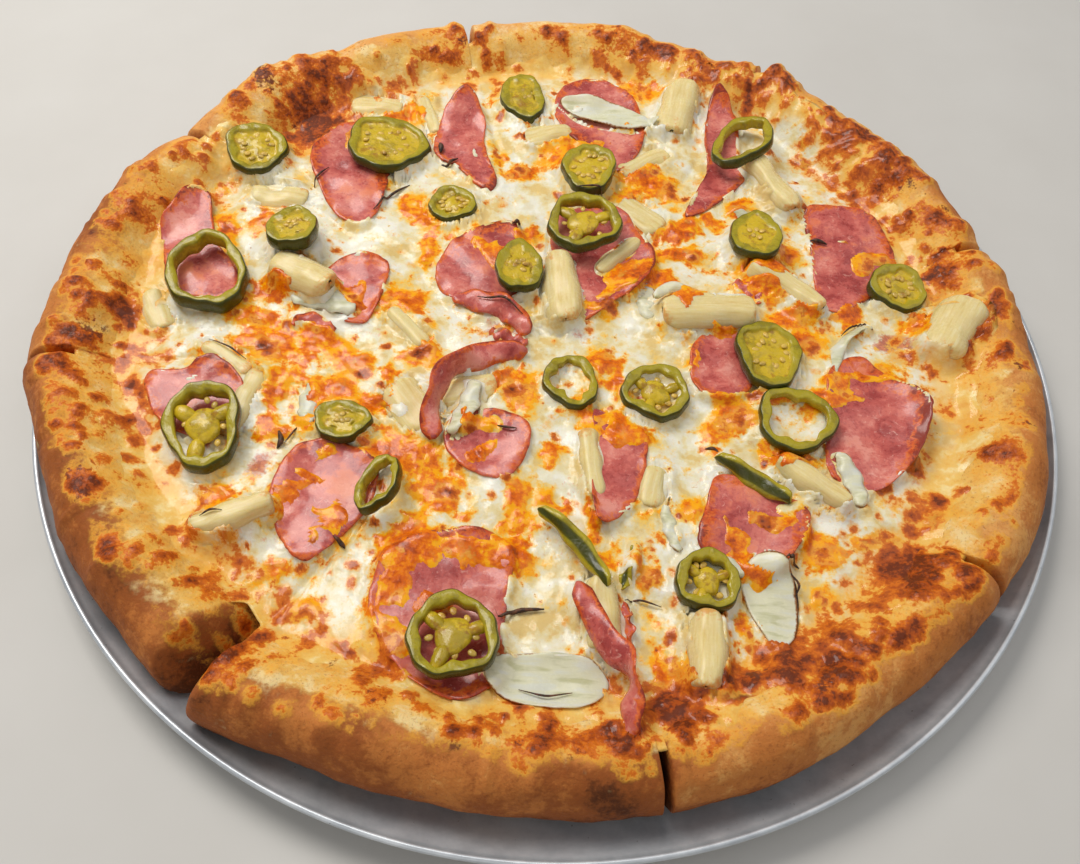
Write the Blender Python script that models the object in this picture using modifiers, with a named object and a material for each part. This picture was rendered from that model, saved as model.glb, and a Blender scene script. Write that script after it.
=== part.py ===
# Round pizza with a thick raised rim, cut in eight, on its shallow round metal pan.
# Lengths below are millimetres and become metres in the mesh. The origin is the middle of the pan
# on the table, +X is right, +Y points away from the viewer and +Z is up.
import math

import bmesh
import bpy
import numpy as np
from mathutils.bvhtree import BVHTree

MM = 0.001
GAP = 0.35  # clear space between two pieces that rest on each other
COLLECTION = "pizza_in_pan"

# Pan: one drawn sheet with a sloping side and a small rolled lip
PAN_SEGMENTS = 72
PAN_INSIDE = ((0.0, 1.2), (167.5, 1.2), (177.5, 2.9), (184.8, 7.4), (187.9, 11.2), (189.2, 12.4))
PAN_UNDERSIDE = ((190.5, 11.4), (189.7, 9.9), (186.2, 5.6), (178.6, 1.5), (169.0, 0.0), (0.0, 0.0))

# Dough: flat base, raised rim
DOUGH_BOTTOM = 1.55
BASE_TOP = 9.0
RIM_WIDTH = 44.0  # from the outer edge in to the flat base
CREST_IN = 12.0  # from the outer edge in to the highest line of the rim
SLICE_COLUMNS = 9  # mesh columns between two cuts

# Outer edge of the rim and crest height, as (angle, radius) and (angle, height) round the pizza
RIM_EDGE = (
    (0, 184), (17, 184.3), (30, 184.8), (46, 183.2), (54, 186), (59, 191), (62, 186.5), (68, 184),
    (82, 191.5), (94, 191.5), (105.5, 190), (108, 191.8), (125, 190.5), (137, 193.5), (150, 189.3),
    (163, 193), (173, 193), (182, 190.7), (193, 193), (197, 189.8), (206, 186.3), (222, 184),
    (234, 183.4), (239, 185.5), (247, 180.6), (262, 176.8), (284, 178.8), (296, 178.8),
    (310, 177.7), (319, 178.9), (327, 182.4), (340, 184.2),
)
CREST = (
    (0, 27), (30, 28), (58, 30), (66, 26.5), (90, 27.5), (108, 29), (138, 29.5), (165, 28), (190, 27),
    (215, 28.5), (232, 28), (242, 29), (265, 28), (290, 26), (310, 26.5), (335, 27.5),
)
# Where the melted cheese ends on the inner side of the rim
CHEESE_EDGE = (
    (0, 154), (9, 152), (25, 154), (40, 161), (54, 170), (58, 168), (73, 165), (91, 162), (101, 158),
    (108, 156), (120, 165), (129, 163), (135, 150), (141, 148), (147, 159), (153, 168), (160, 163),
    (170, 158), (184, 159), (196, 158), (210, 157), (216, 151), (226, 151), (234, 152), (238, 156),
    (243, 149), (251, 147), (271, 150), (285, 154), (300, 154), (315, 153), (326, 150), (340, 153),
)
# Cuts: angle, half width on either side, how far the outer edge is pulled in
CUTS = (
    (17.5, 1.3, 1.3, 5.0), (60.5, 1.6, 2.2, 5.0), (106.5, 1.8, 1.6, 5.0), (152.0, 1.5, 1.5, 5.0),
    (191.5, 1.2, 1.2, 4.0), (237.0, 17.0, 3.0, 9.0), (284.0, 1.6, 1.8, 5.0), (327.0, 1.4, 1.4, 5.0),
)
CUT_FLOOR = 4.0
# Risen bubbles on the rim: angle, radius, spread, height
BUBBLES = (
    (138, 165, 13, 4.0), (222, 160, 12, 3.0), (209, 172, 8, 1.6), (297, 160, 16, 2.2), (60, 178, 8, 3.0),
    (12, 170, 9, 2.0), (36, 172, 10, 1.8), (122, 176, 9, 1.6), (164, 172, 12, 2.0), (185, 174, 9, 1.8),
    (254, 160, 10, 2.2), (273, 163, 10, 1.8), (318, 166, 11, 2.2), (345, 170, 11, 2.0), (84, 176, 12, 1.8),
)

# Melted cheese over the base
CHEESE_TOP = 15.6
CHEESE_EDGE_THICKNESS = 0.9
CHEESE_RINGS = (0.97, 0.90, 0.81, 0.70, 0.58, 0.44, 0.28, 0.13)
CHEESE_HALF_FROM = 3  # from this ring inwards every second column is used

HAM_THICKNESS = 1.6
ONION_THICKNESS = 1.3
CHUNK_HEIGHT = 7.0  # pineapple chunks

# Jalapeno slices: name, x, y, half width, half length, turn, thickness, form, tilt
JALAPENOS = (
    ("jalapeno_01", -132, 81, 12.5, 13.5, 0, 4.4, "seeded", 0),
    ("jalapeno_02", -78, 93, 17.5, 17.0, 0, 5.0, "seeded", 0),
    ("jalapeno_03", -46, 61, 10.0, 10.0, 0, 4.2, "seeded", 0),
    ("jalapeno_04", -105, 31, 10.0, 11.5, 0, 6.0, "disc", 0),
    ("jalapeno_05", -134, 9, 15.0, 19.0, 20, 6.5, "open", 0),
    ("jalapeno_06", -22, 134, 10.0, 16.0, 15, 5.0, "disc", 0),
    ("jalapeno_07", 10, 85, 11.5, 14.5, 0, 6.0, "seeded", 0),
    ("jalapeno_08", 77, 107, 12.0, 18.5, -28, 4.6, "open", 14),
    ("jalapeno_09", 9, 49, 15.0, 15.5, 0, 5.0, "web", 0),
    ("jalapeno_10", -15, 23, 9.5, 12.0, 0, 4.4, "disc", 0),
    ("jalapeno_11", 79, 50, 10.5, 14.0, 0, 4.4, "disc", 0),
    ("jalapeno_12", 135, 30, 11.5, 11.5, 0, 5.0, "seeded", 0),
    ("jalapeno_13", -117, -61, 13.0, 17.0, 15, 5.4, "web", 0),
    ("jalapeno_14", -71, -53, 10.0, 8.5, 0, 4.4, "disc", 0),
    ("jalapeno_15", -53, -79, 7.0, 11.5, -15, 4.4, "open", 18),
    ("jalapeno_16", -23, -130, 14.0, 14.0, 0, 5.4, "web", 0),
    ("jalapeno_17", 55, -104, 10.5, 10.5, 0, 5.4, "web", 0),
    ("jalapeno_18", 39, -29, 12.5, 12.0, 0, 5.0, "web", 0),
    ("jalapeno_19", 8, -27, 10.0, 12.0, 20, 4.4, "open", 0),
    ("jalapeno_20", 81, -9, 12.5, 16.0, 0, 5.0, "seeded", 0),
    ("jalapeno_21", 89, -38, 14.0, 14.0, 0, 4.0, "open", 0),
)

# Ham pieces lying flat: name, outline corners, height of the raised edge, direction of that edge
HAM = (
    ("ham_01", ((-107, 97), (-99, 109), (-90, 107), (-77, 90), (-75, 68), (-79, 48), (-92, 50),
                (-102, 65), (-110, 83)), 2.5, 180),
    ("ham_02", ((-59, 106), (-54, 125), (-46, 131), (-38, 118), (-36, 100), (-29, 79), (-34, 73),
                (-48, 86), (-57, 93)), 7.0, 100),
    ("ham_03", ((-6, 141), (2, 151), (14, 152), (27, 142), (34, 122), (32, 104), (23, 91), (13, 99),
                (-1, 115), (-7, 127)), 2.0, 60),
    ("ham_04", ((65, 141), (72, 138), (77, 123), (76, 105), (79, 92), (67, 76), (52, 65), (57, 82),
                (62, 96), (61, 118)), 7.0, 110),
    ("ham_05", ((102, 73), (112, 77), (124, 75), (133, 68), (137, 52), (136, 38), (126, 28),
                (113, 18), (105, 22), (103, 37), (103, 53)), 3.0, 60),
    ("ham_06", ((-152, 55), (-145, 53), (-141, 41), (-136, 29), (-126, 17), (-123, 2), (-139, 1),
                (-150, 5), (-155, 19), (-160, 36)), 5.0, 120),
    ("ham_07", ((-84, 28), (-68, 27), (-67, 11), (-72, -5), (-84, -3), (-92, 14)), 1.5, 90),
    ("ham_08", ((-19, 53), (-31, 50), (-43, 41), (-48, 29), (-47, 17), (-38, 9), (-26, 8), (-15, 16),
                (-15, 35)), 2.0, 100),
    ("ham_09", ((-1, 61), (13, 68), (25, 66), (33, 52), (39, 38), (33, 22), (24, 14), (12, 4), (6, 12),
                (0, 28), (-4, 45)), 4.0, -20),
    ("ham_10", ((-145, -37), (-132, -34), (-124, -28), (-114, -33), (-108, -43), (-112, -54),
                (-124, -62), (-136, -56), (-142, -47)), 4.0, 90),
    ("ham_11", ((-82, -61), (-69, -60), (-57, -67), (-56, -84), (-64, -97), (-74, -106), (-84, -98),
                (-90, -83), (-88, -69)), 1.5, 180),
    ("ham_12", ((-48, -101), (-33, -92), (-15, -91), (-7, -100), (-8, -121), (-7, -138), (-18, -148),
                (-32, -144), (-44, -133), (-51, -119)), 1.5, 120),
    ("ham_13", ((-33, -45), (-18, -41), (-6, -47), (-6, -60), (-13, -70), (-27, -66), (-35, -57)), 1.5, 0),
    ("ham_14", ((17, -37), (28, -42), (36, -48), (35, -65), (30, -79), (20, -85), (17, -71),
                (18, -54)), 4.0, 200),
    ("ham_15", ((54, -3), (65, 5), (74, 1), (76, -14), (72, -26), (58, -29), (52, -19)), 1.5, -90),
    ("ham_16", ((107, -8), (117, -4), (127, -13), (137, -25), (135, -40), (127, -54), (115, -64),
                (101, -60), (99, -49), (103, -35), (102, -20)), 8.0, -10),
    ("ham_17", ((60, -62), (72, -63), (84, -68), (91, -76), (85, -90), (74, -99), (60, -96), (53, -88),
                (56, -75)), 3.0, -20),
)

# Curled strips: name, kind, path, width, lean from flat in degrees
STRIPS = (
    ("ham_18", "ham", ((-40, 10), (-28, 9), (-16, 4), (-9, -5)), 10.0, 25),
    ("ham_19", "ham", ((-39, -57), (-42, -42), (-38, -28), (-24, -18), (-9, -14)), 11.0, 60),
    ("ham_20", "ham", ((14, -109), (19, -125), (28, -133), (34, -141), (29, -150), (32, -157)), 10.0, 62),
    ("jalapeno_22", "jalapeno", ((60, -55), (68, -61), (78, -67), (85, -71)), 7.0, 50),
    ("jalapeno_23", "jalapeno", ((0, -83), (9, -90), (17, -99), (24, -109)), 6.5, 40),
)

# Pineapple chunks: name, x, y, length, width, turn
PINEAPPLES = (
    ("pineapple_01", 49, 132, 33, 17, 80),
    ("pineapple_02", 89, 86, 35, 12, -60),
    ("pineapple_03", -98, 12, 27, 15, -25),
    ("pineapple_04", -99, -94, 27, 10, 25),
    ("pineapple_05", 2, 17, 34, 14, 97),
    ("pineapple_06", 59, 10, 36, 16, 5),
    ("pineapple_07", 91, 27, 34, 11, -40),
    ("pineapple_08", 152, 9, 28, 18, 60),
    ("pineapple_09", 22, -117, 24, 11, 97),
    ("pineapple_10", 54, -127, 26, 12, 85),
    ("pineapple_11", 93, -63, 28, 10, -40),
)

# Onion petals: name, outline corners, cupping height
ONIONS = (
    ("onion_01", ((-5, 132), (6, 135), (20, 132), (32, 126), (40, 121), (33, 118), (18, 118),
                  (4, 123)), 2.5),
    ("onion_02", ((69, -95), (77, -92), (84, -101), (84, -116), (77, -124), (70, -114), (67, -103)), 2.0),
    ("onion_03", ((-12, -135), (4, -131), (18, -132), (25, -139), (18, -147), (2, -148), (-10, -144)), 2.0),
)

# Chunks and shreds sunk in the cheese, fused with it: x, y, length, width, turn
SUNK = (
    (-88, 124, 22, 15, 0), (-9, 113, 21, 12, 20), (34, 99, 25, 11, 39), (33, 65, 22, 15, -40),
    (-151, -6, 18, 10, -60), (-29, -32, 20, 12, 20), (17, -61, 26, 8, 97), (38, -68, 16, 11, 80),
    (-55, -5, 22, 8, -45), (-49, -41, 22, 15, -50), (-109, -46, 28, 10, 80), (-119, 61, 24, 14, 0),
    (-64, 121, 26, 9, -70), (-119, -27, 22, 7, -33), (-64, -8, 14, 8, 90), (-83, 1, 20, 9, -20),
    (81, 66, 21, 6, -30), (107, -60, 22, 7, 110), (108, -1, 26, 6, 60),
)
SUNK_ABOVE = 2.2
SUNK_BELOW = 2.0
# Sections along a chunk: share of the length from its middle, share of the width
CHUNK_SECTIONS = ((-0.5, 0.72), (-0.36, 1.0), (0.0, 1.04), (0.36, 0.95), (0.5, 0.66))
SUNK_SECTIONS = ((-0.5, 0.75), (0.05, 1.05), (0.5, 0.7))

COLOURS = {
    "pan": ((0.46, 0.49, 0.51), 0.34, 1.0),
    "crust": ((0.66, 0.40, 0.17), 0.75, 0.0),
    "cheese": ((0.88, 0.80, 0.58), 0.35, 0.0),
    "ham": ((0.74, 0.27, 0.24), 0.35, 0.0),
    "jalapeno": ((0.22, 0.25, 0.03), 0.3, 0.0),
    "pineapple": ((0.82, 0.72, 0.32), 0.35, 0.0),
    "onion": ((0.84, 0.80, 0.62), 0.35, 0.0),
}


def material(name):
    colour, roughness, metallic = COLOURS[name]
    made = bpy.data.materials.new(name)
    made.use_nodes = True
    shader = made.node_tree.nodes["Principled BSDF"]
    shader.inputs["Base Color"].default_value = (*colour, 1.0)
    shader.inputs["Roughness"].default_value = roughness
    shader.inputs["Metallic"].default_value = metallic
    made.diffuse_color = (*colour, 1.0)
    return made


def add_object(name, points, faces, kind, collection):
    """A smooth-shaded mesh object from points in millimetres, with its normals facing out."""
    mesh = bpy.data.meshes.new(name)
    mesh.from_pydata([tuple(MM * c for c in p) for p in points], [], faces)
    worked = bmesh.new()
    worked.from_mesh(mesh)
    bmesh.ops.recalc_face_normals(worked, faces=worked.faces)
    bmesh.ops.triangulate(worked, faces=worked.faces)
    worked.to_mesh(mesh)
    worked.free()
    mesh.materials.append(materials[kind])
    mesh.shade_smooth()
    made = bpy.data.objects.new(name, mesh)
    collection.objects.link(made)
    return made


def round_value(pairs, angle):
    """Linear interpolation round the pizza."""
    angles = [p[0] for p in pairs]
    values = [p[1] for p in pairs]
    return float(np.interp(angle % 360.0, angles, values, period=360.0))


def pan_floor(radius):
    radii = [p[0] for p in PAN_INSIDE]
    heights = [p[1] for p in PAN_INSIDE]
    return float(np.interp(radius, radii, heights))


def smooth_max(a, b, blend=1.6):
    return 0.5 * (a + b + math.sqrt((a - b) ** 2 + blend**2))


def bubble_height(x, y):
    total = 0.0
    for angle, radius, spread, height in BUBBLES:
        bx = radius * math.cos(math.radians(angle))
        by = radius * math.sin(math.radians(angle))
        total += height * math.exp(-((x - bx) ** 2 + (y - by) ** 2) / (2 * spread**2))
    return total


def ripple(x, y, size, seed):
    """Gentle unevenness between -1 and 1 from a few crossing waves."""
    total = 0.0
    for k in range(4):
        turn = seed * 1.7 + k * 2.4
        along = x * math.cos(turn) + y * math.sin(turn)
        total += math.sin(along / size * (1 + 0.37 * k) + seed * 3.1 + k)
    return total / 4


def rim_top(x, y):
    """Height of the dough surface from the crest of the rim inwards."""
    angle = math.degrees(math.atan2(y, x))
    radius = math.hypot(x, y)
    depth = round_value(RIM_EDGE, angle) - radius
    crest = round_value(CREST, angle)
    for cut in CUTS:
        away = radius * math.radians(abs((angle - cut[0] + 180) % 360 - 180))
        crest -= 1.8 * math.exp(-((away / 7.0) ** 2))
    share = min(max((depth - CREST_IN) / (RIM_WIDTH - CREST_IN), 0.0), 1.0)
    rise = 0.5 + 0.5 * math.cos(math.pi * share)
    bump = bubble_height(x, y) + 0.9 * ripple(x, y, 6.5, 2)
    return BASE_TOP + (crest - BASE_TOP) * rise + bump * min(1.0, 1.6 * rise)


def rim_section(angle):
    """Dough section at this angle as (radius, height) from under the rim, over it and in to the base."""
    edge = round_value(RIM_EDGE, angle)
    cheese = round_value(CHEESE_EDGE, angle)
    foot = min(cheese - 9.0, edge - RIM_WIDTH)
    unit = (math.cos(math.radians(angle)), math.sin(math.radians(angle)))
    crest_radius = edge - CREST_IN
    crest = rim_top(crest_radius * unit[0], crest_radius * unit[1])
    wave = 0.5 * ripple(60 * unit[0], 60 * unit[1], 5.0, 5)
    tall = crest - DOUGH_BOTTOM
    outside = (
        (edge - 17.0, DOUGH_BOTTOM),
        (min(edge - 6.0, 180.0), DOUGH_BOTTOM + 0.07 * tall),
        (min(edge - 1.2, 186.2), DOUGH_BOTTOM + 0.25 * tall),
        (edge + wave, DOUGH_BOTTOM + 0.45 * tall),
        (edge - 1.0 + wave, DOUGH_BOTTOM + 0.67 * tall),
        (edge - 5.0, DOUGH_BOTTOM + 0.89 * tall),
    )
    section = []
    for k, (radius, height) in enumerate(outside):
        if k < 3:
            height = max(height, pan_floor(radius) + 0.8)
        elif edge > 186.0:
            height = max(height, 15.4)
        if k == 2 and edge > 186.0:
            height = max(height, 12.2)
        section.append((radius, height))
    middle = 0.5 * (crest_radius + cheese)
    for radius in (crest_radius, middle, cheese, 0.5 * (cheese + foot), foot):
        height = BASE_TOP if radius == foot else rim_top(radius * unit[0], radius * unit[1])
        section.append((radius, height))
    return section


def cut_section(angle, pulled_in):
    """Section along the floor of a cut: the rim opened down to a thin skin."""
    whole = rim_section(angle)
    edge = whole[3][0] - pulled_in
    floor = CUT_FLOOR
    section = [whole[0], (edge - 5.0, 2.4), (edge - 1.5, 3.0), (edge, floor - 0.4)]
    section = [(r, max(h, pan_floor(r) + 0.8)) for r, h in section]
    for k, (radius, _) in enumerate(whole[4:9]):
        inward = min(radius, edge - 1.2 - 1.5 * k)
        section.append((inward, max(floor + 0.15 * k, pan_floor(inward) + 1.2)))
    section.append((whole[9][0], 0.5 * (floor + BASE_TOP)))
    section.append(whole[10])
    return section


def dough_columns():
    """Mesh columns round the pizza: each is (points, belongs to a cut floor)."""
    columns = []
    for number, (cut, left, right, pulled_in) in enumerate(CUTS):
        ray = (math.cos(math.radians(cut)), math.sin(math.radians(cut)))
        side = (-ray[1], ray[0])
        for offset, floor in ((-left, False), (-0.3, True), (0.3, True), (right, False)):
            at = cut + math.degrees(math.atan2(offset, 165.0))
            section = cut_section(cut, pulled_in) if floor else rim_section(at)
            column = []
            for row, (radius, height) in enumerate(section):
                across = offset
                if not floor and abs(offset) > 2.5 and row < 6:
                    across = math.copysign(2.5 + (abs(offset) - 2.5) * row / 6.0, offset)
                x = radius * ray[0] + across * side[0]
                y = radius * ray[1] + across * side[1]
                shrink = radius / math.hypot(x, y)
                column.append((x * shrink, y * shrink, height))
            columns.append((column, floor))
        following = CUTS[(number + 1) % len(CUTS)]
        start = cut + math.degrees(right / 165.0)
        end = following[0] + (360 if following[0] < cut else 0) - math.degrees(following[1] / 165.0)
        for k in range(1, SLICE_COLUMNS + 1):
            at = start + (end - start) * k / (SLICE_COLUMNS + 1)
            ray_x = math.cos(math.radians(at))
            ray_y = math.sin(math.radians(at))
            column = [(r * ray_x, r * ray_y, h) for r, h in rim_section(at)]
            columns.append((column, False))
    return columns


def make_crust(columns, collection):
    points = [(0, 0, DOUGH_BOTTOM), (0, 0, BASE_TOP)]
    rows = len(columns[0][0])
    for column, _ in columns:
        points.extend(column)
    faces = []
    count = len(columns)
    for c in range(count):
        here = 2 + c * rows
        there = 2 + ((c + 1) % count) * rows
        faces.append((0, there, here))
        for row in range(rows - 1):
            faces.append((here + row, there + row, there + row + 1))
            faces.append((here + row, there + row + 1, here + row + 1))
        faces.append((here + rows - 1, there + rows - 1, 1))
    return add_object("crust", points, faces, "crust", collection)


def cheese_height(x, y, under):
    """Top of the melted cheese: an uneven level that climbs the inner side of the rim."""
    level = CHEESE_TOP + 0.8 * ripple(x, y, 11.0, 1) + 0.5 * ripple(x, y, 5.5, 3)
    for cut, left, _, _ in CUTS:
        if left < 5:
            continue
        ray = (math.cos(math.radians(cut)), math.sin(math.radians(cut)))
        along = x * ray[0] + y * ray[1]
        across = y * ray[0] - x * ray[1]
        level -= 2.5 * math.exp(-((across / 12.0) ** 2)) / (1 + math.exp((128 - along) / 5))
    return smooth_max(level, under + CHEESE_EDGE_THICKNESS)


def make_cheese(columns, collection):
    kept = [column for column, floor in columns if not floor]
    if len(kept) % 2:
        raise ValueError("the cheese needs an even number of columns")
    count = len(kept)
    points = [(0, 0, BASE_TOP + GAP)]
    rings = []

    def add_ring(positions):
        first = len(points)
        points.extend(positions)
        rings.append([first + k for k in range(len(positions))])

    lift = GAP + 0.15
    add_ring([(c[10][0], c[10][1], c[10][2] + GAP) for c in kept])
    add_ring([(c[9][0], c[9][1], c[9][2] + lift) for c in kept])
    add_ring([(c[8][0], c[8][1], c[8][2] + lift) for c in kept])
    add_ring([(c[8][0] * 0.998, c[8][1] * 0.998, c[8][2] + lift + CHEESE_EDGE_THICKNESS) for c in kept])
    for number, share in enumerate(CHEESE_RINGS):
        step = 2 if number >= CHEESE_HALF_FROM else 1
        ring = []
        for column in kept[::step]:
            edge = column[8]
            radius = math.hypot(edge[0], edge[1])
            turn = math.atan2(edge[1], edge[0])
            even = (1 - share) * 155.0 + share * radius
            x = share * even * math.cos(turn)
            y = share * even * math.sin(turn)
            radii = [math.hypot(column[k][0], column[k][1]) for k in (10, 9, 8)]
            heights = [column[k][2] + lift for k in (10, 9, 8)]
            under = float(np.interp(math.hypot(x, y), radii, heights))
            ring.append((x, y, cheese_height(x, y, under)))
        add_ring(ring)
    top = len(points)
    points.append((0, 0, cheese_height(0, 0, BASE_TOP)))
    faces = [(0, rings[0][k], rings[0][(k + 1) % count]) for k in range(count)]
    for outer, inner in zip(rings, rings[1:]):
        n = len(inner)
        if len(outer) == n:
            for k in range(n):
                m = (k + 1) % n
                faces.extend(((outer[k], inner[k], outer[m]), (inner[k], inner[m], outer[m])))
            continue
        for k in range(n):
            m = (k + 1) % n
            a, b, c = outer[2 * k], outer[2 * k + 1], outer[(2 * k + 2) % len(outer)]
            faces.extend(((inner[k], a, b), (inner[k], b, inner[m]), (inner[m], b, c)))
    last = rings[-1]
    faces.extend((last[k], last[(k + 1) % len(last)], top) for k in range(len(last)))
    return add_object("cheese", points, faces, "cheese", collection)


def chunk(length, width, height, seed, stations):
    """A pineapple chunk: a bar of rounded, slightly uneven sections, capped at both ends."""
    points = []
    faces = []
    for number, (along, share) in enumerate(stations):
        half = 0.5 * width * share * (1 + 0.06 * math.sin(2.3 * number + seed))
        tall = height * (0.80 + 0.20 * share)
        lean = 0.05 * width * math.sin(seed + number)
        section = (
            (-half * 0.9, 0.0), (half * 0.9, 0.0), (half, 0.6 * tall), (half * 0.55 + lean, tall),
            (-half * 0.55 + lean, 0.96 * tall), (-half, 0.55 * tall),
        )
        points.extend((along * length, across, up) for across, up in section)
    for k in range(len(stations) - 1):
        for j in range(6):
            m = (j + 1) % 6
            faces.append((6 * k + j, 6 * k + m, 6 * k + 6 + m, 6 * k + 6 + j))
    last = 6 * (len(stations) - 1)
    faces.append(tuple(range(6)))
    faces.append(tuple(last + j for j in range(6)))
    return points, faces


def pepper_slice(half_x, half_y, height, form, seed):
    """A jalapeno slice: a fleshy wall, closed, open, or with a core held by thin webs."""
    count = 12 if half_x < 12.2 else 14
    wall = min(3.4, 0.34 * min(half_x, half_y))

    def ring(share, inset, up):
        made = []
        for k in range(count):
            turn = 2 * math.pi * k / count
            out = 1 + 0.05 * math.sin(3 * turn + seed) + 0.03 * math.sin(5 * turn + 2 * seed)
            radius_x = max(half_x * out * share - inset, 0.5)
            radius_y = max(half_y * out * share - inset, 0.5)
            made.append((radius_x * math.cos(turn), radius_y * math.sin(turn), up))
        return made

    points = []
    faces = []

    def band(a, b):
        for k in range(count):
            m = (k + 1) % count
            faces.append((a + k, a + m, b + m, b + k))

    if form == "open":
        for share, inset, up in ((0.93, 0, 0), (1, 0, 0.5 * height), (0.94, 0, height),
                                 (0.94, wall, height), (0.94, wall * 0.9, 0)):
            points.extend(ring(share, inset, up))
        for k in range(5):
            band(k * count, ((k + 1) % 5) * count)
        return points, faces
    if form in ("seeded", "disc"):
        dip = 1.3 if form == "seeded" else 0.7
        for share, inset, up in ((0.93, 0, 0), (1, 0, 0.5 * height), (0.94, 0, height),
                                 (0.94, wall, height), (0.94, wall + 0.8, height - dip),
                                 (0.34, 0, height - 0.5 * dip)):
            points.extend(ring(share, inset, up))
        for k in range(5):
            band(k * count, (k + 1) * count)
        low = len(points)
        points.extend(((0, 0, 0), (0, 0, height - 0.4 * dip)))
        for k in range(count):
            m = (k + 1) % count
            faces.append((m, k, low))
            faces.append((5 * count + k, 5 * count + m, low + 1))
        return points, faces
    # core held by two webs: rings are wall outside low, middle, high, then inside and core, high and low
    web_height = height - 0.9
    for share, inset, up in ((0.93, 0, 0), (1, 0, 0.5 * height), (0.94, 0, height), (0.94, wall, height),
                             (0.94, wall, 0), (0.38, 0, web_height), (0.38, 0, 0)):
        points.extend(ring(share, inset, up))
    band(0, count)
    band(count, 2 * count)
    band(2 * count, 3 * count)
    band(4 * count, 0)
    centre = len(points)
    points.extend(((0, 0, web_height), (0, 0, 0)))
    solid = [k % (count // 2) < 2 for k in range(count)]
    high, low, core_high, core_low = 3 * count, 4 * count, 5 * count, 6 * count
    for k in range(count):
        m = (k + 1) % count
        faces.append((core_high + k, core_high + m, centre))
        faces.append((core_low + m, core_low + k, centre + 1))
        if solid[k]:
            faces.append((high + k, high + m, core_high + m, core_high + k))
            faces.append((low + k, core_low + k, core_low + m, low + m))
        else:
            faces.append((high + k, high + m, low + m, low + k))
            faces.append((core_high + k, core_low + k, core_low + m, core_high + m))
        if solid[k] != solid[k - 1]:
            faces.append((high + k, core_high + k, core_low + k, low + k))
    return points, faces


def resampled(corners, count):
    """Evenly spaced points on a closed rounded curve through the corners."""
    dense = []
    n = len(corners)
    for k in range(n):
        p0, p1, p2, p3 = (np.array(corners[(k + j) % n], float) for j in (-1, 0, 1, 2))
        for t in np.linspace(0, 1, 12, endpoint=False):
            dense.append(0.5 * (2 * p1 + (p2 - p0) * t + (2 * p0 - 5 * p1 + 4 * p2 - p3) * t**2
                                + (3 * p1 - p0 - 3 * p2 + p3) * t**3))
    dense.append(dense[0])
    dense = np.array(dense)
    lengths = np.concatenate([[0], np.cumsum(np.linalg.norm(np.diff(dense, axis=0), axis=1))])
    wanted = np.linspace(0, lengths[-1], count, endpoint=False)
    xs = np.interp(wanted, lengths, dense[:, 0])
    ys = np.interp(wanted, lengths, dense[:, 1])
    return np.stack([xs, ys], axis=1)


def leaf(corners, thickness, curl, curl_angle, wave, seed):
    """A thin wavy sheet within the outline. Both faces are split into triangles alike."""
    outline = resampled(corners, 16 if len(corners) > 7 else 14)
    area_middle = outline.mean(axis=0)
    count = len(outline)
    towards = np.array([math.cos(math.radians(curl_angle)), math.sin(math.radians(curl_angle))])
    reach = ((outline - area_middle) @ towards).max()
    flat = []
    for share in (1.0, 0.55):
        flat.extend(area_middle + share * (outline - area_middle))
    flat.append(area_middle)
    rises = []
    for x, y in flat:
        share = max(0.0, float((np.array([x, y]) - area_middle) @ towards) / reach)
        rises.append(curl * share**2 + wave * (1 + ripple(x, y, 4.0, seed)))
    points = [(x, y, up) for (x, y), up in zip(flat, rises)]
    points += [(x, y, up + thickness) for (x, y), up in zip(flat, rises)]
    n = len(flat)
    faces = []
    for k in range(count):
        m = (k + 1) % count
        for tri in ((k, m, count + m), (k, count + m, count + k), (count + k, count + m, 2 * count)):
            faces.append(tri)
            faces.append((tri[0] + n, tri[2] + n, tri[1] + n))
        faces.extend(((k, m, m + n), (k, m + n, k + n)))
    return points, faces


def strip(path, width, lean, thickness):
    """A curled strip standing at an angle along a smooth path."""
    anchors = np.array(path, float)
    steps = 3 * (len(anchors) - 1)
    at = np.linspace(0, len(anchors) - 1, steps + 1)
    whole = np.arange(len(anchors))
    line = np.stack([np.interp(at, whole, anchors[:, 0]), np.interp(at, whole, anchors[:, 1])], axis=1)
    for _ in range(2):
        line[1:-1] = 0.25 * line[:-2] + 0.5 * line[1:-1] + 0.25 * line[2:]
    points = []
    faces = []
    for number, middle in enumerate(line):
        ahead = line[min(number + 1, steps)] - line[max(number - 1, 0)]
        ahead /= np.linalg.norm(ahead)
        across = np.array([-ahead[1], ahead[0]])
        share = number / steps
        taper = 0.55 + 0.45 * math.sin(math.pi * min(max(share, 0.08), 0.92))
        turn = math.radians(lean * (0.75 + 0.25 * math.sin(5.0 * share + width)))
        for level, bend in ((-0.5, 0.0), (0.0, 0.06), (0.5, 0.0)):
            along = level * width * taper
            bow = bend * width
            out = along * math.cos(turn) - bow * math.sin(turn)
            up = (along + 0.5 * width * taper) * math.sin(turn) + bow * math.cos(turn)
            for side in (-0.5, 0.5):
                shift = side * thickness
                spot = middle + across * (out - shift * math.sin(turn))
                points.append((spot[0], spot[1], up + shift * math.cos(turn)))
    order = (0, 2, 4, 5, 3, 1)
    for number in range(steps):
        for j in range(6):
            a = 6 * number + order[j]
            b = 6 * number + order[(j + 1) % 6]
            faces.append((a, b, b + 6, a + 6))
    faces.append((0, 2, 3, 1))
    faces.append((2, 4, 5, 3))
    end = 6 * steps
    faces.append((end, end + 1, end + 3, end + 2))
    faces.append((end + 2, end + 3, end + 5, end + 4))
    return points, faces


def placed(points, x, y, turn):
    cos_turn = math.cos(math.radians(turn))
    sin_turn = math.sin(math.radians(turn))
    return [(x + u * cos_turn - v * sin_turn, y + u * sin_turn + v * cos_turn, w) for u, v, w in points]


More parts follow.
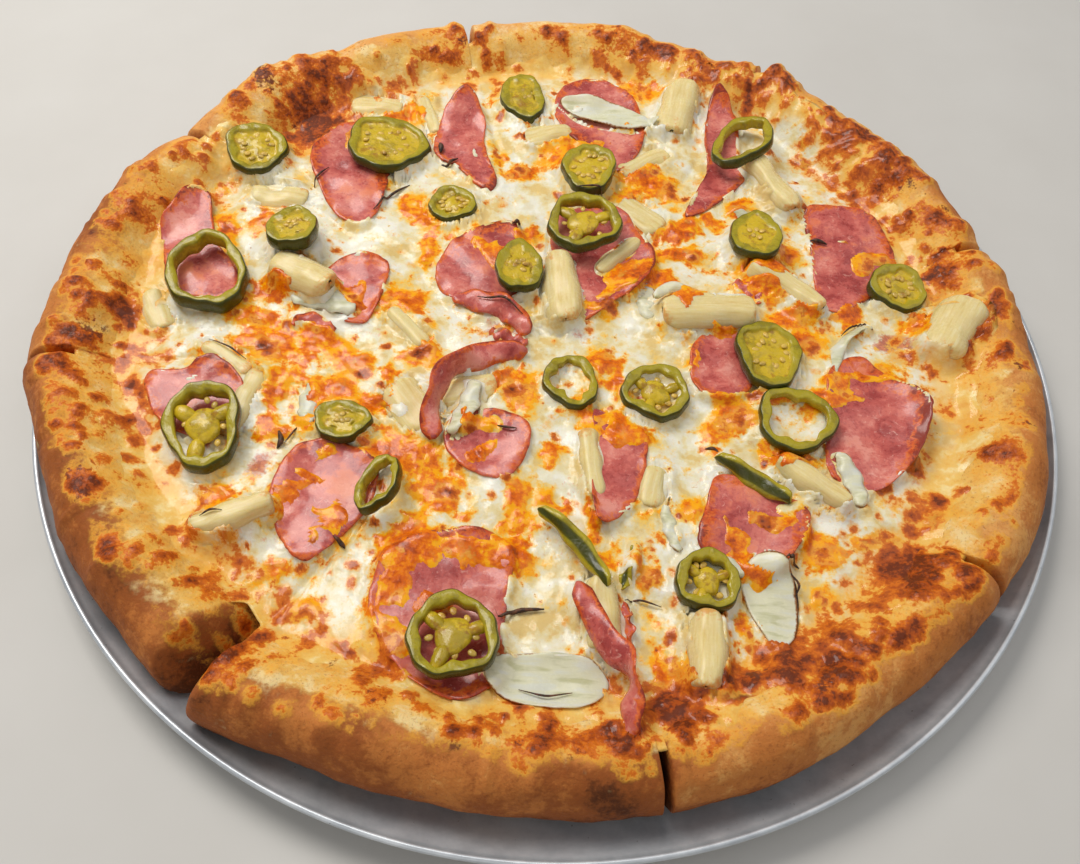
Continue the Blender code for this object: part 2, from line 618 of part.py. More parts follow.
def tilted(points, degrees):
    cos_turn = math.cos(math.radians(degrees))
    sin_turn = math.sin(math.radians(degrees))
    return [(u * cos_turn - w * sin_turn, v, u * sin_turn + w * cos_turn) for u, v, w in points]


class Stack:
    """All that is already in place, seen from above."""

    def __init__(self):
        self.points = []
        self.faces = []
        self.tree = None

    def add(self, made):
        first = len(self.points)
        self.points.extend(tuple(c / MM for c in v.co) for v in made.data.vertices)
        self.faces.extend(tuple(first + i for i in p.vertices) for p in made.data.polygons)
        self.tree = BVHTree.FromPolygons(self.points, self.faces, all_triangles=True)

    def top(self, x, y):
        hit = self.tree.ray_cast((x, y, 200.0), (0, 0, -1))[0]
        return -1000.0 if hit is None else hit[2]


def bottom_samples(points, faces):
    """Pairs of a sample point and the points of its triangle, over all faces that look down."""
    samples = []
    for face in faces:
        for k in range(1, len(face) - 1):
            tri = (face[0], face[k], face[k + 1])
            a, b, c = (np.array(points[i], float) for i in tri)
            size = max(np.linalg.norm(a - b), np.linalg.norm(b - c), np.linalg.norm(c - a))
            steps = max(2, int(size / 1.6))
            for i in range(steps + 1):
                for j in range(steps + 1 - i):
                    u, v = i / steps, j / steps
                    samples.append((u * a + v * b + (1 - u - v) * c, tri))
    return samples


def rest_rigid(points, faces, stack):
    """Lays a stiff piece on the plane under it, then lifts it clear."""
    spots = np.array([(x, y, 1.0) for x, y, _ in points])
    heights = np.array([stack.top(x, y) for x, y, _ in points])
    plane = np.linalg.lstsq(spots, heights, rcond=None)[0]
    steep = math.hypot(plane[0], plane[1])
    if steep > 0.22:
        centre = spots.mean(axis=0)
        slope = plane[:2] * 0.22 / steep
        plane = np.array([*slope, heights.mean() - slope @ centre[:2]])
    laid = [(x, y, z + plane[0] * x + plane[1] * y + plane[2]) for x, y, z in points]
    short = max(stack.top(p[0], p[1]) + GAP - p[2] for p, _ in bottom_samples(laid, faces))
    return [(x, y, z + short) for x, y, z in laid]


def rest_soft(points, faces, stack, half):
    """Drapes a thin sheet: each point of the lower face and its partner above rise till clear."""
    base = [stack.top(x, y) + GAP for x, y, _ in points[:half]]
    base = base + base
    laid = [(x, y, z + up) for (x, y, z), up in zip(points, base)]
    lower = [f for f in faces if max(f) < half]
    for _ in range(12):
        need = [0.0] * half
        for p, tri in bottom_samples(laid, lower):
            short = stack.top(p[0], p[1]) + GAP - p[2]
            if short > 0.02:
                for i in tri:
                    need[i] = max(need[i], short)
        if max(need) <= 0.02:
            break
        laid = [(x, y, z + need[i % half]) for i, (x, y, z) in enumerate(laid)]
    return laid


def fuse_sunk(cheese, dough):
    """Joins the chunks that the melted cheese holds to the cheese itself."""
    extra = bpy.data.collections.new("sunk")
    bpy.context.scene.collection.children.link(extra)
    stack = Stack()
    stack.add(cheese)
    for number, (x, y, length, width, turn) in enumerate(SUNK):
        points, faces = chunk(length, width, SUNK_ABOVE + SUNK_BELOW, number, SUNK_SECTIONS)
        flat = placed(points, x, y, turn)
        level = max(stack.top(a, b) for a, b, _ in flat) - 0.4 - SUNK_BELOW
        below = max(dough.top(p[0], p[1]) for p, _ in bottom_samples(flat, faces)) + 2 * GAP
        level = max(level, below)
        laid = [(a, b, c + level) for a, b, c in flat]
        add_object(f"sunk_{number:02d}", laid, faces, "cheese", extra)
    join = cheese.modifiers.new("sunk", "BOOLEAN")
    join.operation = "UNION"
    join.operand_type = "COLLECTION"
    join.collection = extra
    join.solver = "MANIFOLD"
    bpy.context.view_layer.update()
    graph = bpy.context.evaluated_depsgraph_get()
    joined = bpy.data.meshes.new_from_object(cheese.evaluated_get(graph))
    cheese.modifiers.clear()
    cheese.data = joined
    worked = bmesh.new()
    worked.from_mesh(joined)
    bmesh.ops.triangulate(worked, faces=worked.faces)
    worked.to_mesh(joined)
    worked.free()
    for helper in list(extra.objects):
        bpy.data.objects.remove(helper)
    bpy.data.collections.remove(extra)


def make_pan(collection):
    """The pan is its section turned about the upright axis."""
    profile = [*PAN_INSIDE, *PAN_UNDERSIDE]
    mesh = bpy.data.meshes.new("pan")
    points = [(MM * r, 0, MM * h) for r, h in profile]
    mesh.from_pydata(points, [(k, k + 1) for k in range(len(points) - 1)], [])
    pan = bpy.data.objects.new("pan", mesh)
    collection.objects.link(pan)
    turned = pan.modifiers.new("turned", "SCREW")
    turned.steps = PAN_SEGMENTS
    turned.render_steps = PAN_SEGMENTS
    turned.use_merge_vertices = True
    turned.merge_threshold = 0.00001
    turned.use_normal_calculate = True
    turned.use_smooth_shade = True
    mesh.materials.append(materials["pan"])
    return pan


for old in list(bpy.data.objects):
    bpy.data.objects.remove(old)
materials = {name: material(name) for name in COLOURS}
pizza = bpy.data.collections.new(COLLECTION)
bpy.context.scene.collection.children.link(pizza)

make_pan(pizza)
columns = dough_columns()
crust = make_crust(columns, pizza)
cheese = make_cheese(columns, pizza)
stack = Stack()
stack.add(crust)
fuse_sunk(cheese, stack)
stack.add(cheese)

for number, (name, corners, curl, curl_angle) in enumerate(HAM):
    points, faces = leaf(corners, HAM_THICKNESS, curl, curl_angle, 0.5, number)
    laid = rest_soft(points, faces, stack, len(points) // 2)
    stack.add(add_object(name, laid, faces, "ham", pizza))

for number, (name, x, y, length, width, turn) in enumerate(PINEAPPLES):
    points, faces = chunk(length, width, CHUNK_HEIGHT, number, CHUNK_SECTIONS)
    laid = rest_rigid(placed(points, x, y, turn), faces, stack)
    stack.add(add_object(name, laid, faces, "pineapple", pizza))

for number, (name, corners, cup) in enumerate(ONIONS):
    points, faces = leaf(corners, ONION_THICKNESS, cup, 90, 0.3, number)
    laid = rest_soft(points, faces, stack, len(points) // 2)
    stack.add(add_object(name, laid, faces, "onion", pizza))

for name, kind, path, width, lean in STRIPS:
    points, faces = strip(path, width, lean, HAM_THICKNESS if kind == "ham" else 2.4)
    laid = rest_rigid(points, faces, stack)
    stack.add(add_object(name, laid, faces, kind, pizza))

for number, (name, x, y, half_x, half_y, turn, height, form, tilt) in enumerate(JALAPENOS):
    points, faces = pepper_slice(half_x, half_y, height, form, number)
    laid = rest_rigid(placed(tilted(points, tilt), x, y, turn), faces, stack)
    stack.add(add_object(name, laid, faces, "jalapeno", pizza))
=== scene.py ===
import math
import bpy
import numpy as np
from mathutils import Matrix, Vector


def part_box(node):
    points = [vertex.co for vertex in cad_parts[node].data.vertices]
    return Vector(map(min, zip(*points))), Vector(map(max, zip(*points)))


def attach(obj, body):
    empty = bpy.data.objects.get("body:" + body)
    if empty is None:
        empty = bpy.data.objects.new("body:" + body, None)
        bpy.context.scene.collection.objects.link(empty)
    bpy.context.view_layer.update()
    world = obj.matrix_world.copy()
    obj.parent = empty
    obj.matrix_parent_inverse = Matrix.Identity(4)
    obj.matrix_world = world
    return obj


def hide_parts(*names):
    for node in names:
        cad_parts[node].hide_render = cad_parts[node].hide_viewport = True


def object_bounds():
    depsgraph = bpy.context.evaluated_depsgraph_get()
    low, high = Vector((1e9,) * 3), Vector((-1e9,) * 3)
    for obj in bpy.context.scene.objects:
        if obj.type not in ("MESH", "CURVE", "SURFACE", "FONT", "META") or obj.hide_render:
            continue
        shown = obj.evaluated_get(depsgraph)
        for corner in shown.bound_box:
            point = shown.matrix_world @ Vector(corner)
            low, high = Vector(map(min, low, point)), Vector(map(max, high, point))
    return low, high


# Lengths are in mm about the middle of the pan, angles in degrees round the pizza.
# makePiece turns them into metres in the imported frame.
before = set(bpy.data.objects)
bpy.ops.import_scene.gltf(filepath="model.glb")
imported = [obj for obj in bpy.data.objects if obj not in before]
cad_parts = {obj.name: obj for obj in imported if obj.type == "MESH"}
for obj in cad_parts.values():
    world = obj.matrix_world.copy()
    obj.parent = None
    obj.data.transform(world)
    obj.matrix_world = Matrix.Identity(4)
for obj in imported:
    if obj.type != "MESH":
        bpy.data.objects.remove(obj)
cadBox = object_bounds()
mm = 0.001
panLow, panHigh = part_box("pan")
middle = (panLow + panHigh) / 2
print("frame loaded:", len(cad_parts), "nodes")


# Small tools for numbers, meshes and materials

def smooth(value, low, high):
    share = np.clip((np.asarray(value, float) - low) / (high - low), 0, 1)
    return share * share * (3 - 2 * share)


def bell(value, top, spread):
    # 1 at the top, falling to nothing on both sides
    return np.exp(-((value - top) / spread) ** 2)


def heading(degrees):
    # x and y of a step of one in a direction
    turn = np.radians(degrees)
    return np.cos(turn), np.sin(turn)


grainTurn = np.array(Matrix.Rotation(0.9, 3, Vector((1, 2, 3))))


def lumps(points, size, seed):
    # random smooth unevenness from -1 to 1, about one lump to each size
    table = np.random.RandomState(seed).uniform(-1, 1, (32, 32, 32))
    spots = np.asarray(points, float) @ grainTurn / size + 1000
    whole = np.floor(spots).astype(int)
    part = spots - whole
    part = part * part * (3 - 2 * part)
    total = 0
    for corner in range(8):
        step = np.array([corner & 1, corner >> 1 & 1, corner >> 2])
        share = np.prod(np.where(step, part, 1 - part), axis=-1)
        at = (whole + step) % 32
        total = total + share * table[at[..., 0], at[..., 1], at[..., 2]]
    return total


def flatLumps(x, y, size, seed):
    return lumps(np.stack([x, y, np.zeros_like(x)], axis=-1), size, seed)


def crumple(x, y, size, seed, levels=3, keep=0.6):
    # unevenness with finer unevenness on it
    total, weight = 0, 1.0
    for level in range(levels):
        total = total + weight * flatLumps(x, y, size / 2**level, seed + level)
        weight *= keep
    return total


def around(pairs, angle, soften=2.0):
    # value at an angle from (angle, value) pairs, with rounded corners
    fine = np.arange(0, 360, 0.25)
    values = np.interp(fine, [p[0] for p in pairs], [p[1] for p in pairs], period=360)
    reach = np.arange(-6 * soften, 6 * soften + 0.1, 0.25)
    weights = np.exp(-(reach / soften) ** 2)
    ends = len(reach) // 2
    wrapped = np.concatenate([values[-ends:], values, values[:ends]])
    values = np.convolve(wrapped, weights / weights.sum(), "valid")
    return np.interp(angle, fine, values, period=360)


def sample(field, x, y, cell=1.0):
    # value of a map that spans 200 mm to each side of the middle
    last = field.shape[0] - 1.001
    u, v = np.clip((x + 200) / cell, 0, last), np.clip((y + 200) / cell, 0, last)
    i, j = u.astype(int), v.astype(int)
    a, b = u - i, v - j
    return ((field[i, j] * (1 - a) + field[i + 1, j] * a) * (1 - b)
            + (field[i, j + 1] * (1 - a) + field[i + 1, j + 1] * a) * b)


def drawn(spots, steep=1.0, cell=0.5):
    # map of the strongest of many soft spots (x, y, long, wide, turn, strength)
    side = int(400 / cell) + 1
    field = np.zeros((side, side))
    for spotX, spotY, long, wide, turn, strength in spots:
        far = 2.4 * max(long, wide)
        i0, i1 = (min(max(int((spotX + way * far + 200) / cell), 0), side) for way in (-1, 1))
        j0, j1 = (min(max(int((spotY + way * far + 200) / cell), 0), side) for way in (-1, 1))
        across = (np.arange(i0, i1) * cell - 200 - spotX)[:, None]
        ahead = (np.arange(j0, j1) * cell - 200 - spotY)[None, :]
        cosTurn, sinTurn = heading(turn)
        a, b = (across * cosTurn + ahead * sinTurn) / long, (ahead * cosTurn - across * sinTurn) / wide
        part = field[i0:i1, j0:j1]
        np.maximum(part, strength * np.exp(-(a * a + b * b) ** steep), out=part)
    return field


def blots(x, y, field, ragged=2.0, seed=5, cell=0.5):
    # a map of spots read with ragged sides
    u = x + ragged * flatLumps(x, y, 7, seed) + 0.5 * ragged * flatLumps(x, y, 3, seed + 1)
    v = y + ragged * flatLumps(x, y, 7, seed + 2) + 0.5 * ragged * flatLumps(x, y, 3, seed + 3)
    return sample(field, u, v, cell)


def gridFaces(rows, columns, wrap=False, first=0):
    # quads between rows of points, each row closed on itself where wrap is set
    a = np.arange(rows - 1)[:, None] * columns
    b = np.arange(columns if wrap else columns - 1)[None, :]
    c = (b + 1) % columns
    quads = np.stack([a + b, a + c, a + columns + c, a + columns + b], axis=-1)
    return (quads.reshape(-1, 4) + first).tolist()


def fan(start, count, centre, turned=False):
    # triangles from a closed ring of points, numbered from start, to one centre point
    ring = [(start + k, start + (k + 1) % count) for k in range(count)]
    return [[b, a, centre] if turned else [a, b, centre] for a, b in ring]


def between(p0, p1, p2, p3, t):
    # place on a smooth curve through four points, from the second to the third
    return 0.5 * (2 * p1 + (p2 - p0) * t + (2 * p0 - 5 * p1 + 4 * p2 - p3) * t**2
                  + (3 * p1 - p0 - 3 * p2 + p3) * t**3)


def makePiece(name, points, faces, surface, fields=None):
    # mesh object from points in mm, with fields of one number for each point that its material reads
    mesh = bpy.data.meshes.new(name)
    spots = np.asarray(points, float) * mm
    spots[:, :2] += (middle.x, middle.y)
    mesh.from_pydata(spots.tolist(), [], faces)
    mesh.polygons.foreach_set("use_smooth", [True] * len(mesh.polygons))
    for field, values in (fields or {}).items():
        made = mesh.attributes.new(field, "FLOAT", "POINT")
        made.data.foreach_set("value", np.asarray(values, np.float32))
    mesh.materials.append(surface)
    mesh.update()
    piece = bpy.data.objects.new(name, mesh)
    bpy.context.scene.collection.objects.link(piece)
    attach(piece, "root")
    return piece


def linear(red, green, blue):
    # screen colour, 0 to 255, as the linear colour that materials take
    parts = [c / 255 for c in (red, green, blue)]
    return [c / 12.92 if c <= 0.04045 else ((c + 0.055) / 1.055) ** 2.4 for c in parts] + [1.0]


class Finish:
    # a material built up step by step from nodes
    def __init__(self, name, **sockets):
        self.material = bpy.data.materials.new(name)
        self.material.use_nodes = True
        self.tree = self.material.node_tree
        self.shader = self.tree.nodes["Principled BSDF"]
        self.place = self.node("ShaderNodeTexCoord").outputs["Object"]
        for socket, value in sockets.items():
            self.shader.inputs[socket.replace("_", " ")].default_value = value

    def node(self, kind, **settings):
        made = self.tree.nodes.new(kind)
        for key, value in settings.items():
            setattr(made, key, value)
        return made

    def put(self, value, socket):
        if isinstance(value, bpy.types.NodeSocket):
            self.tree.links.new(value, socket)
        else:
            socket.default_value = value

    def field(self, name):
        return self.node("ShaderNodeAttribute", attribute_name=name).outputs["Fac"]

    def noise(self, size, detail=3.0, roughness=0.55, stretch=None, warp=0.0):
        made = self.node("ShaderNodeTexNoise")
        place = self.place
        if stretch:
            scaled = self.node("ShaderNodeMapping")
            self.put(place, scaled.inputs["Vector"])
            scaled.inputs["Scale"].default_value = stretch
            place = scaled.outputs["Vector"]
        self.put(place, made.inputs["Vector"])
        made.inputs["Scale"].default_value = 1 / (size * mm)
        made.inputs["Detail"].default_value = detail
        made.inputs["Roughness"].default_value = roughness
        made.inputs["Distortion"].default_value = warp
        return made.outputs["Fac"]

    def bubbles(self, size):
        made = self.node("ShaderNodeTexVoronoi", feature="F1")
        self.put(self.place, made.inputs["Vector"])
        made.inputs["Scale"].default_value = 1 / (size * mm)
        return made.outputs["Distance"]

    def math(self, operation, a, b=0.0):
        made = self.node("ShaderNodeMath", operation=operation)
        self.put(a, made.inputs[0])
        self.put(b, made.inputs[1])
        return made.outputs[0]

    def add(self, *terms):
        # sum of (socket, factor) pairs
        total = None
        for socket, factor in terms:
            part = self.math("MULTIPLY", socket, factor)
            total = part if total is None else self.math("ADD", total, part)
        return total

    def swing(self, *terms):
        # the same, with noises taken about their middle
        return self.math("SUBTRACT", self.add(*terms), 0.5 * sum(factor for _, factor in terms))

    def step(self, value, low, high):
        made = self.node("ShaderNodeMapRange", interpolation_type="SMOOTHSTEP")
        self.put(value, made.inputs["Value"])
        made.inputs["From Min"].default_value = low
        made.inputs["From Max"].default_value = high
        return made.outputs["Result"]

    def ramp(self, value, *stops):
        # colours along a value from (place, colour) stops
        made = self.node("ShaderNodeValToRGB")
        made.color_ramp.interpolation = "EASE"
        marks = made.color_ramp.elements
        while len(marks) < len(stops):
            marks.new(0.5)
        for mark, (at, colour) in zip(marks, stops):
            mark.position = at
            mark.color = linear(*colour)
        self.put(value, made.inputs["Fac"])
        return made.outputs["Color"]

    def blend(self, share, below, above):
        made = self.node("ShaderNodeMix", data_type="RGBA")
        self.put(share, made.inputs[0])
        for value, number in ((below, 6), (above, 7)):
            self.put(linear(*value) if isinstance(value, tuple) else value, made.inputs[number])
        return made.outputs[2]

    def finish(self, colour, roughness=None, relief=None, height=0.5, strength=1.0):
        self.put(colour, self.shader.inputs["Base Color"])
        if roughness is not None:
            self.put(roughness, self.shader.inputs["Roughness"])
        if relief is not None:
            bump = self.node("ShaderNodeBump")
            bump.inputs["Strength"].default_value = strength
            bump.inputs["Distance"].default_value = height * mm
            self.put(relief, bump.inputs["Height"])
            self.put(bump.outputs["Normal"], self.shader.inputs["Normal"])
        return self.material


# Camera and light

view = {
    "place": (0.0, -0.238283, 0.294997), "forward": (-0.0054257, 0.5624999, -0.8267796),
    "up": (-0.0769643, 0.8241044, 0.5611849), "lens": 31.667,
}
cameraData = bpy.data.cameras.new("camera")
cameraData.lens = view["lens"]
cameraData.sensor_width = 36
cameraData.sensor_fit = "HORIZONTAL"
cameraData.clip_start = 0.01
camera = bpy.data.objects.new("camera", cameraData)
bpy.context.scene.collection.objects.link(camera)
back = -Vector(view["forward"]).normalized()
right = Vector(view["up"]).cross(back).normalized()
turned = Matrix((right, back.cross(right), back)).transposed().to_4x4()
camera.matrix_world = Matrix.Translation(Vector(view["place"]) + Vector((middle.x, middle.y, 0))) @ turned
bpy.context.scene.camera = camera
bpy.context.scene.view_settings.view_transform = "Standard"

# soft boxes: name, place, size, power, colour
softBoxes = (
    ("windowLight", (-0.48, 0.46, 0.98), 0.62, 11.2, (1.0, 0.975, 0.93)),
    ("roomLight", (0.75, 0.25, 1.0), 1.1, 3.1, (0.97, 0.98, 1.0)),
    ("frontLight", (-0.35, -1.0, 0.8), 1.2, 2.6, (1.0, 0.96, 0.9)),
)
for name, place, size, power, colour in softBoxes:
    lampData = bpy.data.lights.new(name, "AREA")
    lampData.size = size
    lampData.energy = power
    lampData.color = colour
    lamp = bpy.data.objects.new(name, lampData)
    lamp.location = place
    lamp.rotation_euler = Vector(place).to_track_quat("Z", "Y").to_euler()
    bpy.context.scene.collection.objects.link(lamp)

room = bpy.data.worlds.new("room")
room.use_nodes = True
room.node_tree.nodes["Background"].inputs["Color"].default_value = (0.90, 0.92, 0.94, 1.0)
room.node_tree.nodes["Background"].inputs["Strength"].default_value = 0.27
bpy.context.scene.world = room

tableTop = Finish("paleTable", Roughness=0.6)
tableTop.finish(tableTop.blend(tableTop.noise(60), (196, 192, 186), (206, 203, 198)))
reach = 4.0
floorMesh = bpy.data.meshes.new("floor")
floorMesh.from_pydata([(-reach, -reach, 0), (reach, -reach, 0), (reach, reach, 0), (-reach, reach, 0)],
                      [], [(0, 1, 2, 3)])
floorMesh.materials.append(tableTop.material)
floor = bpy.data.objects.new("floor", floorMesh)
floor.location.z = cadBox[0].z - 0.0005
bpy.context.scene.collection.objects.link(floor)
print("camera, light and floor are set")


# Pan: drawn aluminium sheet with a sloping side and a small rolled lip

pan = {
    # radius and height of the sheet, inside and underneath
    "inside": ((0, 1.2), (150, 1.2), (167.5, 1.25), (173, 1.9), (177.5, 3.2), (181.5, 5.3), (184.8, 8.0),
               (187.2, 10.6), (188.6, 11.9)),
    "lip": (189.45, 11.55, 1.0),  # middle and radius of the rolled edge
    "outside": ((189.6, 10.4), (188.6, 8.6), (186.0, 5.6), (182.2, 3.0), (178.0, 1.3), (173.5, 0.35),
                (169, 0), (120, 0), (0, 0)),
    "turns": 240,
}


def makePan():
    lipRadius, lipHeight, roll = pan["lip"]
    profile = list(pan["inside"])
    for k in range(9):
        turn = math.radians(150 - 28 * k)
        profile.append((lipRadius + roll * math.cos(turn), lipHeight + roll * math.sin(turn)))
    profile += pan["outside"]
    turn = np.linspace(0, 2 * math.pi, pan["turns"], endpoint=False)
    points = [(0, 0, profile[0][1])]
    for radius, height in profile[1:-1]:
        points += np.stack([radius * np.cos(turn), radius * np.sin(turn), height + 0 * turn], axis=1).tolist()
    points.append((0, 0, 0))
    count = pan["turns"]
    rows = len(profile) - 2
    faces = gridFaces(rows, count, wrap=True, first=1)
    faces += fan(1, count, 0, turned=True) + fan(1 + (rows - 1) * count, count, len(points) - 1)
    faces = [face[::-1] for face in faces]

    metal = Finish("dullAluminium", Metallic=0.4, Anisotropic=0.3)
    worn = metal.noise(9, 4, 0.65)
    cloudy = metal.noise(45, 3, 0.6)
    specks = metal.step(metal.noise(1.6, 2, 0.6), 0.72, 0.78)
    tone = metal.add((worn, 0.45), (cloudy, 0.55))
    colour = metal.ramp(tone, (0.3, (178, 184, 190)), (0.7, (220, 224, 228)))
    colour = metal.blend(metal.math("MULTIPLY", specks, 0.6), colour, (92, 84, 74))
    metal.finish(colour, metal.add((worn, 0.22), (cloudy, 0.16), (specks, 0.2), (0.5, 0.36)),
                 metal.noise(0.9, 3), 0.05, 0.35)
    piece = makePiece("panSheet", points, faces, metal.material)
    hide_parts("pan")


makePan()
print("pan is made")


# Dough: outer edge, crest and the line where melted cheese ends, as (angle, length) pairs

dough = {
    "bottom": 1.55, "base": 9.0, "rimWidth": 44.0, "crestIn": 12.0, "floorOfCut": 4.0, "cutRadius": 165,
    "edge": ((0, 184), (17, 184.3), (30, 184.8), (46, 183.2), (54, 186), (59, 191), (62, 186.5), (68, 184),
             (82, 191.5), (94, 191.5), (105.5, 190), (108, 191.8), (125, 190.5), (137, 193.5), (150, 189.3),
             (163, 193), (173, 193), (182, 190.7), (193, 193), (197, 189.8), (206, 186.3), (222, 184),
             (234, 183.4), (239, 185.5), (247, 180.6), (262, 176.8), (284, 178.8), (296, 178.8),
             (310, 177.7), (319, 178.9), (327, 182.4), (340, 184.2)),
    "crest": ((0, 27), (30, 28), (58, 30), (66, 26.5), (90, 27.5), (108, 29), (138, 29.5), (165, 28),
              (190, 27), (215, 28.5), (232, 28), (242, 29), (265, 28), (290, 26), (310, 26.5), (335, 27.5)),
    "cheeseEnd": ((0, 154), (9, 152), (25, 154), (40, 161), (54, 170), (58, 168), (73, 165), (91, 162),
                  (101, 158), (108, 156), (120, 165), (129, 163), (135, 150), (141, 148), (147, 159),
                  (153, 168), (160, 163), (170, 158), (184, 159), (196, 158), (210, 157), (216, 151),
                  (226, 151), (234, 152), (238, 156), (243, 149), (251, 147), (271, 150), (285, 154),
                  (300, 154), (315, 153), (326, 150), (340, 153)),
    # cuts: angle, half width on either side, how far the outer edge is pulled in
    "cuts": ((17.5, 1.3, 1.3, 5.0), (60.5, 1.6, 2.2, 5.0), (106.5, 1.8, 1.6, 5.0), (152.0, 1.5, 1.5, 5.0),
             (191.5, 1.2, 1.2, 4.0), (237.0, 17.0, 3.0, 9.0), (284.0, 1.0, 1.1, 5.0), (327.0, 1.4, 1.4, 5.0)),
    # risen bubbles: angle, radius, spread, height
    "bubbles": ((138, 165, 13, 4.0), (222, 160, 12, 3.0), (209, 172, 8, 1.6), (297, 160, 16, 2.2),
                (60, 178, 8, 3.0), (12, 170, 9, 2.0), (36, 172, 10, 1.8), (122, 176, 9, 1.6),
                (164, 172, 12, 2.0), (185, 174, 9, 1.8), (254, 160, 10, 2.2), (273, 163, 10, 1.8),
                (318, 166, 11, 2.2), (345, 170, 11, 2.0), (84, 176, 12, 1.8)),
    "columns": 800, "samples": 78, "blisters": 5200, "domes": 1.9,
    # how brown the toasted cheese is round the rim
    "toast": ((0, .55), (12, .62), (25, .8), (40, .9), (58, .95), (72, .75), (90, .68), (104, .72),
              (112, .65), (124, .7), (135, 1.0), (146, .8), (156, .45), (170, .5), (184, .7), (196, .85),
              (206, .9), (214, .6), (224, .65), (236, .6), (248, .55), (262, .45), (275, .5), (288, .75),
              (300, .95), (312, .75), (322, .6), (334, .55), (348, .5)),
}

# dark toasted spots: x, y, long, wide, turn, strength
charSpots = (
    (-135, 117, 6, 8, 20, 1.0), (-118, 107, 8, 6, 20, 0.7), (-168, -25, 7, 4.5, 30, 0.75),
    (-179, -48, 5, 3.5, 80, 0.6), (-151, -87, 7, 5, 110, 0.65), (-144, -95, 5, 4, 60, 0.8),
    (-133, -113, 5, 4, 75, 0.4), (-57, -141, 5, 3, 30, 0.6), (-43, -151, 4, 3, 0, 0.55),
    (-19, -164, 4, 3, 40, 0.7), (16, -165, 4.5, 3, 0, 0.7), (1, -163, 3, 2.5, 0, 0.5),
    (88, -138, 9, 4, 60, 0.6), (96, -146, 9, 3.5, 80, 0.65), (72, -133, 7, 4, 10, 0.5),
    (134, -105, 5, 3.5, 60, 0.5), (119, -117, 4, 3, 0, 0.5), (169, -37, 4, 3, 80, 0.5),
    (171, -10, 5, 3, 90, 0.55), (180, 15, 5, 3.5, 80, 0.5), (152, 41, 7, 5, 60, 0.7),
    (160, 69, 8, 5, 120, 0.7), (146, 84, 8, 5, 130, 0.65), (152, 92, 6, 4, 120, 0.6),
    (133, 116, 8, 5, 140, 0.65), (116, 137, 7, 5, 140, 0.6), (100, 148, 6, 5, 120, 0.8),
    (-181, 20, 5, 3, 100, 0.5), (-176, 46, 5, 3, 80, 0.5), (-158, 92, 6, 4, 50, 0.5),
    (-100, 150, 6, 4, 30, 0.5), (-53, 166, 5, 4, 90, 0.55), (20, 176, 6, 3, 0, 0.45),
    (60, 166, 5, 3, 0, 0.5),
)
# browned places of the rim, in the same form
rimSpots = (
    (-118, 108, 11, 8, 30, 0.9), (-67, 153, 5, 4, 0, 0.8), (-80, 157, 6, 2.5, 30, 0.7),
    (-54, 168, 12, 4, 108, 0.7), (-151, 111, 8, 5, 50, 0.6), (-170, 82, 8, 4, 65, 0.6),
    (-160, 75, 6, 4, 60, 0.6), (-172, -28, 9, 4, 20, 0.8), (-178, -47, 5, 3, 80, 0.7),
    (-160, -78, 6, 3, 20, 0.7), (-149, -90, 7, 5, 100, 0.8), (-132, -113, 6, 4, 70, 0.9),
    (-100, -122, 10, 6, -40, 0.7), (-88, -140, 14, 4, 58, 0.9), (-12, -156, 8, 5, 0, 0.6),
    (8, -157, 9, 5, 0, 0.75), (27, -158, 9, 5, 10, 0.8), (-45, -150, 7, 4, 10, 0.5),
    (48, -143, 8, 5, 25, 0.85), (63, -137, 9, 6, 25, 1.0), (78, -131, 9, 6, 15, 1.05),
    (91, -132, 6, 6, 0, 0.95), (93, -144, 8, 3.5, 88, 0.9), (115, -95, 13, 7, 30, 0.7),
    (122, -99, 7, 4, 20, 0.85), (133, -104, 7, 5, 40, 0.8), (118, -117, 5, 4, 0, 0.7),
    (110, -121, 7, 2.5, 40, 0.6), (157, -52, 7, 5, 60, 0.85), (153, -35, 4, 3, 0, 0.7),
    (168, -38, 4, 4, 0, 0.7), (171, -22, 5, 3, 80, 0.7), (172, -7, 5, 5, 0, 0.75),
    (168, 18, 7, 4, 80, 0.95), (160, 3, 6, 4, 60, 0.7), (158, 45, 10, 8, 110, 0.9),
    (150, 70, 11, 8, 115, 0.9), (152, 92, 10, 6, 120, 0.85), (133, 112, 9, 6, 140, 0.8),
    (118, 131, 8, 5, 140, 0.7), (97, 160, 10, 5, 120, 0.85), (82, 145, 9, 4, 50, 0.85),
    (40, 172, 10, 6, -10, 0.8), (12, 178, 9, 6, 0, 0.85), (-20, 172, 9, 5, 10, 0.7),
    (60, 164, 7, 5, -30, 0.8), (25, 168, 5, 4, 0, 0.7),
)


def angleOf(x, y):
    return np.degrees(np.arctan2(y, x)) % 360


def ripple(x, y, size, seed):
    total = 0
    for k in range(4):
        turn = seed * 1.7 + k * 2.4
        along = x * math.cos(turn) + y * math.sin(turn)
        total = total + np.sin(along / size * (1 + 0.37 * k) + seed * 3.1 + k)
    return total / 4


def acrossCut(angle, cut, radius=dough["cutRadius"]):
    # signed distance in mm round the pizza from a cut, at the rim
    return radius * np.radians((angle - cut + 180) % 360 - 180)


def alongCut(x, y, cut):
    # distance from the middle along a cut, and to the side of it
    rayX, rayY = heading(cut)
    return x * rayX + y * rayY, y * rayX - x * rayY


